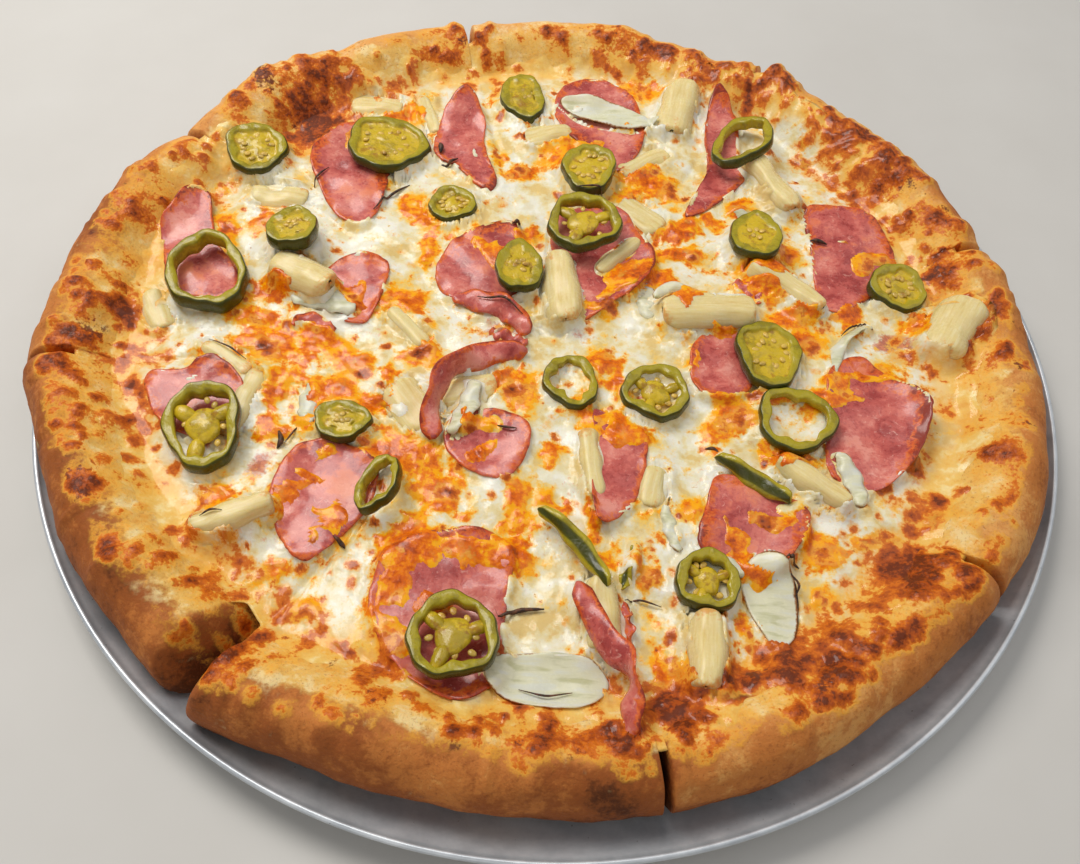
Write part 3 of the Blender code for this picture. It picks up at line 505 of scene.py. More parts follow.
def crispSpots():
    # round blisters of browned cheese along the rim, most where it is most toasted
    rand = np.random.RandomState(17)
    turn = rand.uniform(0, 360, dough["blisters"])
    start, end = around(dough["cheeseEnd"], turn) - 15, around(dough["edge"], turn, 0.8) - 8
    out = start + (end - start) * rand.uniform(0, 1, turn.size)
    x, y = out * np.array(heading(turn))
    likely = 0.75 * around(dough["toast"], turn, 3) - 0.30 + 0.45 * crumple(x, y, 16, 51, 2)
    size = rand.uniform(1.2, 3.3, turn.size)
    made = []
    for k in np.flatnonzero(rand.uniform(0, 1, turn.size) < likely):
        made.append((x[k], y[k], size[k] * rand.uniform(1, 1.4), size[k],
                     rand.uniform(0, 180), rand.uniform(0.55, 1)))
    return made


blisterMap = drawn(crispSpots(), 1.5)
charMap = drawn(charSpots)
rimMap = drawn(rimSpots)


def rimRelief(x, y):
    # lumps that baking leaves on the rim, in mm
    coarse = 1.0 * flatLumps(x, y, 14, 21) + 0.6 * flatLumps(x, y, 7, 22)
    crisp = smooth(rimToast(x, y), 0.25, 0.75)
    domes = dough["domes"] * blots(x, y, blisterMap, 0.9, 55)
    return coarse + domes + crisp * (0.3 + 0.5 * crumple(x, y, 5, 23, 2))


def rimTop(x, y):
    # height of the dough from the crest of the rim inwards
    angle = angleOf(x, y)
    radius = np.hypot(x, y)
    depth = around(dough["edge"], angle, 0.8) - radius
    crest = around(dough["crest"], angle)
    for cut, *_ in dough["cuts"]:
        crest = crest - 1.8 * bell(acrossCut(angle, cut), 0, 7)
    share = np.clip((depth - dough["crestIn"]) / (dough["rimWidth"] - dough["crestIn"]), 0, 1)
    rise = 0.5 + 0.5 * np.cos(math.pi * share)
    bump = 0.9 * ripple(x, y, 6.5, 2)
    for turn, out, spread, height in dough["bubbles"]:
        bubbleX, bubbleY = out * np.array(heading(turn))
        away = (x - bubbleX) ** 2 + (y - bubbleY) ** 2
        bump = bump + height * np.exp(-away / (2 * spread**2))
    bump = bump + rimRelief(x, y)
    return dough["base"] + (crest - dough["base"]) * rise + bump * np.minimum(1, 1.6 * rise)


def panFloor(radius):
    return np.interp(radius, [p[0] for p in pan["inside"]], [p[1] for p in pan["inside"]])


def curveThrough(stations, count):
    # smooth curve through the stations of every column: (columns, stations, 2) to (columns, count, 2)
    last = stations.shape[1] - 1
    at = np.linspace(0, last, count)
    whole = np.minimum(at.astype(int), last - 1)
    t = (at - whole)[None, :, None]
    near = (np.maximum(whole - 1, 0), whole, whole + 1, np.minimum(whole + 2, last))
    return between(*(stations[:, k] for k in near), t), at


def rimStations(angle):
    # the section of the rim at each angle, from under the edge over the crest to the flat base
    edge = around(dough["edge"], angle, 0.8)
    cheeseEnd = around(dough["cheeseEnd"], angle)
    foot = np.minimum(cheeseEnd - 9, edge - dough["rimWidth"])
    cosA, sinA = heading(angle)
    crestRadius = edge - dough["crestIn"]
    crest = rimTop(crestRadius * cosA, crestRadius * sinA)
    wave = 0.5 * ripple(60 * cosA, 60 * sinA, 5.0, 5)
    low = dough["bottom"]
    tall = crest - low
    over = edge > 186
    radii = [edge - 17, np.minimum(edge - 6, 180), np.minimum(edge - 1.2, 186.2), edge + wave,
             edge - 1 + wave, edge - 5, crestRadius, 0.5 * (crestRadius + cheeseEnd), cheeseEnd,
             0.5 * (cheeseEnd + foot), foot]
    heights = [low + 0 * edge, low + 0.07 * tall, low + 0.25 * tall, low + 0.45 * tall, low + 0.67 * tall,
               low + 0.89 * tall]
    for k in range(3):
        heights[k] = np.maximum(heights[k], panFloor(radii[k]) + 0.8)
    heights[2] = np.where(over, np.maximum(heights[2], 12.4), heights[2])
    for k in (3, 4, 5):
        heights[k] = np.where(over, np.maximum(heights[k], 15.4), heights[k])
    heights += [rimTop(r * cosA, r * sinA) for r in radii[6:10]] + [dough["base"] + 0 * edge]
    return np.stack([np.stack(radii, 1), np.stack(heights, 1)], axis=2)


def cutStations(whole, pulledIn):
    # the same section at the floor of a cut: opened down to a thin skin
    edge = whole[:, 3, 0] - pulledIn
    floorOfCut = dough["floorOfCut"]
    made = whole.copy()
    rows = [(edge - 5, 2.4), (edge - 1.5, 3.0), (edge, floorOfCut - 0.4)]
    for k, (radius, height) in enumerate(rows, 1):
        made[:, k, 0] = radius
        made[:, k, 1] = np.maximum(height, panFloor(radius) + 0.8)
    for k in range(5):
        inward = np.minimum(whole[:, 4 + k, 0], edge - 1.2 - 1.5 * k)
        made[:, 4 + k, 0] = inward
        made[:, 4 + k, 1] = np.maximum(floorOfCut + 0.15 * k, panFloor(inward) + 1.2)
    made[:, 9, 1] = 0.5 * (floorOfCut + dough["base"])
    return made


def cutShare(angle, row):
    # how far each column is inside a cut, and the share pulled in there
    share = np.zeros_like(angle)
    pulled = np.zeros_like(angle)
    for cut, left, wide, pulledIn in dough["cuts"]:
        across = acrossCut(angle, cut)
        half = np.where(across < 0, left, wide)
        half = np.where(half > 2.5, 2.5 + (half - 2.5) * min(row, 6) / 6, half) + 0.5
        inside = 1 - smooth(np.abs(across), 0.25, half)
        pulled = np.where(inside > share, pulledIn, pulled)
        share = np.maximum(share, inside)
    return share, pulled


def makeCrust():
    angles = list(np.linspace(0, 360, dough["columns"], endpoint=False))
    for cut, *_ in dough["cuts"]:
        for offset in (-2.6, -1.9, -1.5, -1.1, -0.7, -0.3, 0, 0.3, 0.7, 1.1, 1.5, 1.9, 2.6):
            angles.append(cut + math.degrees(offset / dough["cutRadius"]))
    angles = np.array(sorted(set(round(a % 360, 4) for a in angles)))
    whole = rimStations(angles)
    shares, pulled = cutShare(angles, 6)
    opened = cutStations(whole, pulled)
    mixed = whole.copy()
    for row in range(whole.shape[1]):
        share, _ = cutShare(angles, row)
        mixed[:, row] += share[:, None] * (opened[:, row] - whole[:, row])
    section, at = curveThrough(mixed, dough["samples"])
    cosA, sinA = heading(angles[:, None])
    x, y, z = section[..., 0] * cosA, section[..., 0] * sinA, section[..., 1]
    # inside the crest the surface follows rimTop, which the cheese follows too
    inner = smooth(at, 5.6, 6.6)[None, :] * (1 - shares[:, None]) * (at[None, :] < 9.8)
    z = z + inner * (rimTop(x, y) - z)
    points = np.stack([x, y, z], axis=2)
    # the outside of the rim: gentle dents, wrinkles low down and fine grain
    out = np.stack([cosA + 0 * x, sinA + 0 * x, 0 * x], axis=2)
    flank = smooth(at, 1.2, 2.5)[None, :] * (1 - smooth(at, 5.4, 6.4))[None, :]
    dents = 0.75 * lumps(points, 16, 31) + 0.35 * lumps(points, 6.5, 32) + 0.12 * lumps(points, 2.8, 33)
    wrinkleHeight = 8.5 + 1.5 * lumps(points * (1, 1, 0), 18, 34)
    wrinkle = bell(z, wrinkleHeight, 0.9) * smooth(lumps(points * (1, 1, 0), 30, 35), -0.3, 0.4)
    points += out * (flank * (dents - 0.7 * wrinkle))[..., None] * (points[..., 2:] > 3)
    columns, rows = at.size, angles.size
    flat = points.reshape(-1, 3)
    first = len(flat)
    faces = gridFaces(rows, columns)
    for k in range(columns - 1):
        faces.append(((rows - 1) * columns + k, (rows - 1) * columns + k + 1, k + 1, k))
    faces = [face[::-1] for face in faces]
    spots = flat.tolist() + [(0, 0, dough["bottom"]), (0, 0, dough["base"])]
    for c in range(rows):
        here, there = c * columns, (c + 1) % rows * columns
        faces.append((first, there, here))
        faces.append((here + columns - 1, there + columns - 1, first + 1))

    angle = np.repeat(angles, columns)
    x, y, z = flat.T
    station = np.tile(at, rows)
    toast = rimToast(x, y) * smooth(station, 4.9, 5.8)
    # colour of the outside: dark near the pan, tan above, pale at a torn or wrinkled place, darker round the
    # left and the front right, paler high up at the back
    bakeAndShade = 0.74 - 0.30 * smooth(z, 5, 20) + 0.16 * lumps(flat, 34, 41) + 0.10 * lumps(flat, 10, 42)
    # painted shade: the front and front-left of the rim, which face away from the light, are made darker
    bakeAndShade += 0.16 * bell(angle, 262, 30) + 0.12 * bell(angle, 215, 20)
    bakeAndShade -= 0.30 * bell(angle, 296, 9) * smooth(z, 8, 14)
    bakeAndShade += (0.10 * smooth(heading(angle - 190)[0], 0.2, 1.0)
             - 0.22 * smooth(heading(angle - 100)[0], 0.1, 0.9) * smooth(z, 10, 20))
    bakeAndShade += 0.14 * bell(angle, 314, 22) + 0.16 * smooth(lumps(flat, 22, 43), 0.1, 0.7)
    # painted shade in the cuts: their walls, the wide gap most, are made darker, and the cheese film is
    # mostly left off them
    cutWall = np.repeat(cutShare(angles, 6)[0], columns)
    wideGapShade = bell(angle, 235.3, 2.2)
    bakeAndShade += 0.12 * wideGapShade * smooth(cutWall, 0.01, 0.12) + 0.10 * (cutWall > 0.25)
    seam = wrinkle.reshape(-1) * np.repeat(smooth(heading(angles - 268)[0], 0.8, 0.97), columns)
    fields = {
        "toast": np.append(toast, (0, 0)),
        "bakeAndShade": np.append(bakeAndShade, (0.5, 0.3)),
        "seam": np.append(seam, (0, 0)),
        "char": np.append(blots(x, y, charMap, 1.6) * smooth(station, 4.6, 6), (0, 0)),
        "inner": np.append(smooth(station, 5.6, 7.4) * (1 - 0.85 * smooth(cutWall, 0.02, 0.3)), (0, 0)),
    }
    piece = makePiece("crustRim", spots, faces, crustFinish(), fields)
    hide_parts("crust")


def rimToast(x, y):
    # how toasted the cheese is on a place of the rim: crisp above 0.5
    angle = angleOf(x, y)
    radius = np.hypot(x, y)
    cheeseEnd = around(dough["cheeseEnd"], angle)
    edge = around(dough["edge"], angle, 0.8)
    band = smooth(radius, cheeseEnd - 16, cheeseEnd + 3) * (1 - smooth(radius, edge - 14, edge - 6))
    clusters = 0.44 * around(dough["toast"], angle, 3) - 0.10 + 0.34 * crumple(x, y, 14, 51, 3, 0.65)
    spots = 0.62 * blots(x, y, rimMap, 3.0, 57)
    level = band * clusters + spots + 0.16 * crumple(x, y, 5, 59) * smooth(spots, 0.1, 0.4)
    return np.clip(level + 0.60 * blots(x, y, blisterMap, 0.9, 55), 0, 0.92)


def toasted(surface, below, level, middling, fine):
    # golden film, then orange-brown clusters, then dark crisp spots on top of a colour
    near = surface.math("MULTIPLY", surface.step(level, 0.02, 0.22), 0.7)
    level = surface.math("ADD", level, surface.swing((middling, 0.8), (fine, 0.7)))
    golden = surface.math("MULTIPLY", surface.step(level, 0.06, 0.40), near)
    colour = surface.blend(golden, below, (238, 172, 62))
    share = surface.step(level, 0.32, 0.52)
    shades = surface.ramp(level, (0.34, (233, 152, 46)), (0.54, (210, 110, 26)), (0.76, (172, 78, 20)),
                          (0.98, (108, 46, 18)))
    return surface.blend(share, colour, shades), share


def charred(surface, below, middling, fine):
    level = surface.math("ADD", surface.field("char"), surface.swing((middling, 2.2), (fine, 1.4)))
    return surface.blend(surface.math("MULTIPLY", surface.step(level, 0.46, 0.86), 0.9), below,
                         surface.ramp(fine, (0.35, (66, 36, 30)), (0.68, (124, 62, 36))))


def crustFinish():
    skin = Finish("bakedCrust", Subsurface_Weight=0.12, Subsurface_Scale=0.004, Roughness=0.6,
                  Specular_IOR_Level=0.18)
    skin.shader.inputs["Subsurface Radius"].default_value = (1.0, 0.55, 0.25)
    coarse, middling, fine = skin.noise(11, 3), skin.noise(3.6, 3, 0.6), skin.noise(1.3, 3, 0.65)
    # this field holds the browning and also painted shade on the front of the rim and in the cuts
    bakeAndShade = skin.math("ADD", skin.field("bakeAndShade"), skin.swing((coarse, 0.55), (middling, 0.40), (fine, 0.30)))
    colour = skin.ramp(bakeAndShade, (0.05, (238, 204, 146)), (0.28, (224, 160, 88)), (0.50, (198, 122, 58)),
                       (0.74, (156, 86, 38)), (1.0, (92, 48, 22)))
    # cream of the melted cheese film on the inner slope
    film = skin.math("ADD", skin.field("inner"), skin.swing((coarse, 1.4), (middling, 0.9)))
    film = skin.step(film, 0.25, 0.75)
    colour = skin.blend(skin.math("MULTIPLY", film, 0.85), colour, filmColour(skin, coarse, middling))
    seam = skin.step(skin.add((skin.field("seam"), 1.0), (fine, 0.5), (0.5, -0.5)), 0.25, 0.6)
    colour = skin.blend(skin.math("MULTIPLY", seam, 0.6), colour, (240, 216, 174))
    # small dented pits, coloured darker: painted shade in the pits
    shadedPores = skin.step(skin.noise(1.0, 3, 0.7), 0.56, 0.68)
    colour = skin.blend(skin.math("MULTIPLY", shadedPores, 0.40), colour, (158, 90, 44))
    colour, crisp = toasted(skin, colour, skin.field("toast"), middling, fine)
    colour = charred(skin, colour, middling, fine)
    relief = skin.add((middling, 0.5), (fine, 0.45), (shadedPores, -0.12),
                      (skin.math("MULTIPLY", skin.bubbles(1.9), crisp), -0.5))
    rough = skin.add((0.60, 1.0), (crisp, -0.26), (film, -0.10), (fine, 0.1))
    return skin.finish(colour, rough, relief, 1.0, 0.6)


def filmColour(surface, coarse, middling):
    # thin melted cheese on dough, from golden to cream
    return surface.ramp(surface.add((coarse, 0.55), (middling, 0.45)), (0.38, (230, 168, 72)),
                        (0.50, (237, 192, 102)), (0.60, (244, 218, 154)))


makeCrust()
print("crust is made")


# Heights seen from above, one number for each mm, so that toppings and cheese can rest on each other

line = np.arange(-200.0, 201.0)
mapX, mapY = np.meshgrid(line, line, indexing="ij")


def softened(field, size):
    # blur over size mm
    k = np.fft.fftfreq(field.shape[0])
    fade = np.exp(-2 * (math.pi * size) ** 2 * (k[:, None] ** 2 + k[None, :] ** 2))
    return np.real(np.fft.ifft2(np.fft.fft2(field) * fade))


def lay(field, x, y, z):
    # raises the map to points of a piece
    for sideX in (0, 1):
        for sideY in (0, 1):
            i = np.clip(np.floor(x).astype(int) + 200 + sideX, 0, 400)
            j = np.clip(np.floor(y).astype(int) + 200 + sideY, 0, 400)
            np.maximum.at(field, (i, j), z)


def closedCurve(corners, count):
    # evenly spaced points on a rounded outline through the corners
    corners = np.array(corners, float)
    t = np.linspace(0, 1, 14, endpoint=False)[:, None]
    dense = []
    for k in range(len(corners)):
        dense.append(between(*(corners[(k + j) % len(corners)] for j in (-1, 0, 1, 2)), t))
    dense = np.concatenate(dense + [dense[0][:1]])
    lengths = np.concatenate([[0], np.cumsum(np.linalg.norm(np.diff(dense, axis=0), axis=1))])
    wanted = np.linspace(0, lengths[-1], count, endpoint=False)
    return np.stack([np.interp(wanted, lengths, dense[:, 0]), np.interp(wanted, lengths, dense[:, 1])], 1)


def joined(parts):
    # several (points, faces, fields) as one
    points, faces, fields = [], [], {key: [] for key in parts[0][2]}
    for partPoints, partFaces, partFields in parts:
        first = len(points)
        points.extend(np.asarray(partPoints).tolist())
        faces.extend(tuple(first + i for i in face) for face in partFaces)
        for key in fields:
            fields[key].extend(np.broadcast_to(partFields[key], len(partPoints)).tolist())
    return np.array(points), faces, {key: np.array(values) for key, values in fields.items()}


def cadSpots(node):
    # points of a CAD node in mm about the middle of the pan
    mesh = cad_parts[node].data
    spots = np.empty(len(mesh.vertices) * 3)
    mesh.vertices.foreach_get("co", spots)
    return (spots.reshape(-1, 3) - (middle.x, middle.y, 0)) / mm


def restLike(points, node):
    # tips a stiff piece to the slope of its CAD node and sets it at the same height
    spots = cadSpots(node)
    flat = np.c_[spots[:, :2], np.ones(len(spots))]
    slope = np.linalg.lstsq(flat, spots[:, 2], rcond=None)[0]
    made = points.copy()
    made[:, 2] += points[:, 0] * slope[0] + points[:, 1] * slope[1]
    made[:, 2] += spots[:, 2].min() - made[:, 2].min()
    return made


cheese = {
    "top": 15.6, "edgeThickness": 0.9, "cells": 288, "sunkAbove": 2.2, "floor": 9.4, "freckles": 560,
    # its skirt under the top: share of the radius, and how far below
    "skirt": ((0.985, 1.6), (0.94, 1.8), (0.89, 2.0), (0.83, 2.4), (0.76, 3.0), (0.6, 9.0)),
}


def cheeseLevel(x, y):
    # top of the melted cheese without what lies in it
    level = cheese["top"] + 0.8 * ripple(x, y, 11, 1) + 0.5 * ripple(x, y, 5.5, 3)
    for cut, left, _, _ in dough["cuts"]:
        if left > 5:
            along, across = alongCut(x, y, cut)
            level = level - 2.5 * bell(across, 0, 12) / (1 + np.exp((128 - along) / 5))
    angle, radius = angleOf(x, y), np.hypot(x, y)
    thick = cheese["edgeThickness"]
    past = radius - around(dough["cheeseEnd"], angle) - 2
    past = past + 5.0 * flatLumps(x, y, 9, 61) + 2.5 * flatLumps(x, y, 4, 62)
    under = rimTop(x, y) + thick - (thick + 0.8) * smooth(past, -3, 6)
    return 0.5 * (level + under + np.sqrt((level - under) ** 2 + 1.6**2))


ground = cheeseLevel(mapX, mapY)
ground[np.hypot(mapX, mapY) > 178] = 20
stack = ground.copy()      # all that is in place
covered = ground.copy()    # all that cheese may run over
toppings = np.zeros_like(ground)
climb = np.zeros_like(ground)
print("heights of the cheese are known")


def keepHeights(points, faces, climbs, mayCover=True):
    # marks a topping on the maps; climbs is how far melted cheese creeps up its side
    corners = np.array([(tuple(face) + (face[-1],))[:4] for face in faces if len(face) < 5])
    shares = np.linspace(0, 1, 4)
    u, v = (share.reshape(-1, 1, 1) for share in np.meshgrid(shares, shares))
    a, b, c, d = (points[corners[:, k]][None] for k in range(4))
    spots = ((a * (1 - u) + b * u) * (1 - v) + (d * (1 - u) + c * u) * v).reshape(-1, 3)
    lay(stack, *spots.T)
    mark = np.zeros_like(toppings)
    lay(mark, spots[:, 0], spots[:, 1], np.ones(len(spots)))
    np.maximum(toppings, mark, out=toppings)
    np.maximum(climb, climbs * mark, out=climb)
    if mayCover:
        lay(covered, *spots.T)


# Ham: name, outline corners, height of the raised edge, direction of that edge

ham = {
    "thickness": 1.6, "frill": 1.1, "cheeseClimbs": 0.9, "around": 116,
    "shares": (0.985, 0.95, 0.88, 0.79, 0.68, 0.56, 0.43, 0.30, 0.15),
    "pieces": (
        ("ham_01", ((-107, 97), (-99, 109), (-90, 107), (-77, 90), (-75, 68), (-79, 48), (-92, 50),
                    (-102, 65), (-110, 83)), 2.5, 180),
        ("ham_02", ((-59, 106), (-54, 125), (-46, 131), (-38, 118), (-36, 100), (-29, 79), (-34, 73),
                    (-48, 86), (-57, 93)), 7.0, 100),
        ("ham_03", ((-6, 141), (2, 151), (14, 152), (27, 142), (34, 122), (32, 104), (23, 91), (13, 99),
                    (-1, 115), (-7, 127)), 2.0, 60),
        ("ham_04", ((65, 141), (72, 138), (77, 123), (76, 105), (79, 92), (67, 76), (52, 65), (57, 82),
                    (62, 96), (61, 118)), 7.0, 110),
        ("ham_05", ((102, 73), (112, 77), (124, 75), (133, 68), (137, 52), (136, 38), (126, 28),
                    (113, 18), (105, 22), (103, 37), (103, 53)), 3.0, 60),
        ("ham_06", ((-152, 55), (-145, 53), (-141, 41), (-136, 29), (-126, 17), (-123, 2), (-139, 1),
                    (-150, 5), (-155, 19), (-160, 36)), 5.0, 120),
        ("ham_07", ((-84, 28), (-68, 27), (-67, 11), (-72, -5), (-84, -3), (-92, 14)), 1.5, 90),
        ("ham_08", ((-19, 53), (-31, 50), (-43, 41), (-48, 29), (-47, 17), (-38, 9), (-26, 8), (-15, 16),
                    (-15, 35)), 2.0, 100),
        ("ham_09", ((-1, 61), (13, 68), (25, 66), (33, 52), (39, 38), (33, 22), (24, 14), (12, 4), (6, 12),
                    (0, 28), (-4, 45)), 4.0, -20),
        ("ham_10", ((-145, -37), (-132, -34), (-124, -28), (-114, -33), (-108, -43), (-112, -54),
                    (-124, -62), (-136, -56), (-142, -47)), 4.0, 90),
        ("ham_11", ((-82, -61), (-69, -60), (-57, -67), (-56, -84), (-64, -97), (-74, -106), (-84, -98),
                    (-90, -83), (-88, -69)), 1.5, 180),
        ("ham_12", ((-48, -101), (-33, -92), (-15, -91), (-7, -100), (-8, -121), (-7, -138), (-18, -148),
                    (-32, -144), (-44, -133), (-51, -119)), 1.5, 120),
        ("ham_13", ((-33, -45), (-18, -41), (-6, -47), (-6, -60), (-13, -70), (-27, -66),
                    (-35, -57)), 1.5, 0),
        ("ham_14", ((17, -37), (28, -42), (36, -48), (35, -65), (30, -79), (20, -85), (17, -71),
                    (18, -54)), 4.0, 200),
        ("ham_15", ((54, -3), (65, 5), (74, 1), (76, -14), (72, -26), (58, -29), (52, -19)), 1.5, -90),
        ("ham_16", ((107, -8), (117, -4), (127, -13), (137, -25), (135, -40), (127, -54), (115, -64),
                    (101, -60), (99, -49), (103, -35), (102, -20)), 8.0, -10),
        ("ham_17", ((60, -62), (72, -63), (84, -68), (91, -76), (85, -90), (74, -99), (60, -96), (53, -88),
                    (56, -75)), 3.0, -20),
    ),
}


def leafParts(corners, thickness, curl, curlAngle, frill, seed, count, shares, ragged=0.35):
    # a thin wavy sheet that follows what it lies on, with a rounded edge
    outline = closedCurve(corners, count)
    centre = outline.mean(axis=0)
    outline += ragged * np.stack([flatLumps(*outline.T, 2.6, seed), flatLumps(*outline.T, 2.6, seed + 9)], 1)
    towards = np.array(heading(curlAngle))
    reach = ((outline - centre) @ towards).max()
    rings = np.array((1.0,) + tuple(shares))
    flat = centre + rings[:, None, None] * (outline - centre)[None]
    flat = np.concatenate([flat.reshape(-1, 2), centre[None]])
    ringOf = np.append(np.repeat(rings, count), 0)
    edge = (1 - ringOf) * np.append(np.tile(np.linalg.norm(outline - centre, axis=1), len(rings)), 9)
    x, y = flat.T
    raised = np.maximum(0, ((flat - centre) @ towards) / reach)
    rise = curl * raised**2 + 0.5 * (1 + ripple(x, y, 4.0, seed)) + 0.35 * flatLumps(x, y, 5, seed + 3)
    rise += 0.9 * flatLumps(x, y, 12, seed + 4)
    rise += frill * np.exp(-edge / 2.5) * (0.5 + flatLumps(x, y, 6, seed + 5))
    drape = np.maximum(stack, softened(stack, 2.0))
    drape = np.maximum(softened(drape, 1.0), stack)
    low = sample(drape, x, y) + 0.1 + rise
    inset = np.append(np.repeat(np.array([0.5, 0.22, 0.06] + [0] * (len(rings) - 3)), count), 0)
    top, bottom = low + thickness * (1 - inset), low + thickness * inset
    n = len(flat)
    points = np.concatenate([np.c_[x, y, top], np.c_[x[count:], y[count:], bottom[count:]]])
    upper = gridFaces(len(rings), count, wrap=True)
    faces = [f[::-1] for f in upper]
    shift = n - count
    faces += [[i if i < count else i + shift for i in f] for f in upper]
    lastRing = (len(rings) - 1) * count
    faces += fan(lastRing, count, n - 1, turned=True) + fan(lastRing + shift, count, n - 1 + shift)
    edges = np.concatenate([edge, edge[count:]])
    rises = np.concatenate([curl * raised**2, (curl * raised**2)[count:]])
    roast = 0.5 + 0.5 * flatLumps(points[:, 0], points[:, 1], 16, seed + 7)
    return points, faces, {"edge": edges, "curl": rises, "roast": roast}


def smoothPath(path, steps, rounds):
    # points along a rounded path, the direction to the side at each, and the share of the way
    anchors = np.array(path, float)
    at = np.linspace(0, len(anchors) - 1, steps + 1)
    whole = np.arange(len(anchors))
    line = np.stack([np.interp(at, whole, anchors[:, 0]), np.interp(at, whole, anchors[:, 1])], axis=1)
    for _ in range(rounds):
        line[1:-1] = 0.25 * line[:-2] + 0.5 * line[1:-1] + 0.25 * line[2:]
    ahead = np.gradient(line, axis=0)
    ahead /= np.linalg.norm(ahead, axis=1)[:, None]
    return line, np.stack([-ahead[:, 1], ahead[:, 0]], 1), np.linspace(0, 1, steps + 1)


def ribbonParts(path, width, lean, thickness, floorHeight=None, steps=44, seed=1, wave=2.6):
    # a curled strip that stands at an angle along a smooth path
    line, side, share = smoothPath(path, steps, 60)
    taper = 0.55 + 0.45 * np.sin(math.pi * np.clip(share, 0.08, 0.92))
    taper *= smooth(share, -0.03, 0.06) * (1 - smooth(share, 0.94, 1.03))
    turn = np.radians(lean * (0.80 + 0.45 * np.sin(7.0 * share + width)))
    sway = 0.42 * np.arange(steps + 1) + seed
    levels = np.linspace(-0.5, 0.5, 9)
    rings = []
    for level, fat in [(l, 0.5) for l in levels] + [(l, -0.5) for l in levels[::-1]]:
        rounded = fat * thickness * (1 - 0.75 * smooth(abs(level), 0.30, 0.5))
        along = level * width * taper
        bow = 0.07 * width * math.cos(math.pi * level)
        bow = bow + 0.4 * lumps(np.c_[line, 9 * level + 0 * share], 5, seed) + wave * level * np.sin(sway)
        along = along * (1 + 0.10 * np.sin(sway + 3 * level))
        out = along * np.cos(turn) - (bow + rounded) * np.sin(turn)
        up = (along + 0.5 * width * taper) * np.sin(turn) + (bow + rounded) * np.cos(turn)
        spot = line + side * out[:, None]
        rings.append(np.c_[spot, up])
    rings = np.array(rings).transpose(1, 0, 2)
    count = rings.shape[1]
    points = rings.reshape(-1, 3)
    faces = gridFaces(steps + 1, count, wrap=True)
    faces.append(list(range(count))[::-1])
    faces.append([steps * count + k for k in range(count)])
    if floorHeight is None:
        floorHeight = np.median(sample(stack, points[:, 0], points[:, 1])) - 0.3
    points = points + (0, 0, floorHeight - points[:, 2].min())
    edge = np.tile(width * (0.5 - np.abs(np.concatenate([levels, levels[::-1]]))), steps + 1)
    ends = np.repeat(np.minimum(share, 1 - share), count)
    upper = np.tile(smooth(np.concatenate([levels, levels[::-1]]), 0.22, 0.5), steps + 1)
    return points, faces, {"edge": edge, "curl": 4.5 * upper, "roast": 0.50 - 0.9 * ends}


def hamFinish():
    meat = Finish("bakedHam", Subsurface_Weight=0.15, Subsurface_Scale=0.003, Roughness=0.36, IOR=1.42,
                  Specular_IOR_Level=0.35, Coat_Weight=0.3, Coat_Roughness=0.12)
    meat.shader.inputs["Subsurface Radius"].default_value = (1.0, 0.35, 0.25)
    fine, middling, coarse = meat.noise(1.4, 4, 0.62), meat.noise(4.5, 3, 0.6, warp=0.6), meat.noise(14, 2)
    flesh = meat.math("ADD", meat.swing((fine, 0.35), (middling, 0.55), (coarse, 1.2)), 0.5)
    pink = meat.ramp(flesh, (0.28, (162, 66, 62)), (0.44, (190, 90, 82)), (0.58, (210, 114, 101)),
                     (0.74, (228, 148, 132)))
    fat = meat.step(meat.noise(3.2, 4, 0.7, warp=1.5), 0.56, 0.70)
    pink = meat.blend(meat.math("MULTIPLY", fat, 0.42), pink, (242, 188, 172))
    # orange fat on the surface, a roasted edge, then a dark red-brown rim
    grease = meat.math("ADD", meat.field("roast"), meat.swing((coarse, 1.6), (middling, 1.0), (fine, 0.3)))
    grease = meat.step(grease, 0.66, 1.05)
    colour = meat.blend(meat.math("MULTIPLY", grease, 0.7), pink, (224, 116, 62))
    edge = meat.add((meat.field("edge"), -0.14), (meat.field("roast"), 0.9), (meat.field("curl"), 0.10))
    edge = meat.math("ADD", edge, meat.swing((middling, 2.2), (fine, 1.0)))
    colour = meat.blend(meat.step(edge, -0.06, 0.36), colour,
                        meat.ramp(fine, (0.38, (196, 76, 32)), (0.62, (220, 110, 48))))
    colour = meat.blend(meat.step(edge, 0.46, 0.80), colour, (142, 50, 32))
    rough = meat.add((fine, 0.35), (middling, 0.25), (0.5, 0.02))
    return meat.finish(colour, rough, meat.add((fine, 0.4), (middling, 0.6)), 0.6, 0.5)


hamSurface = hamFinish()
for number, (name, corners, curl, curlAngle) in enumerate(ham["pieces"]):
    points, faces, fields = leafParts(corners, ham["thickness"], curl, curlAngle, ham["frill"], 100 + number,
                                      ham["around"], ham["shares"])
    piece = makePiece(name + "_slice", points, faces, hamSurface, fields)
    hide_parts(name)
    keepHeights(points, faces, ham["cheeseClimbs"])
print("ham is laid")


# Pineapple: name, x, y, length, width, turn

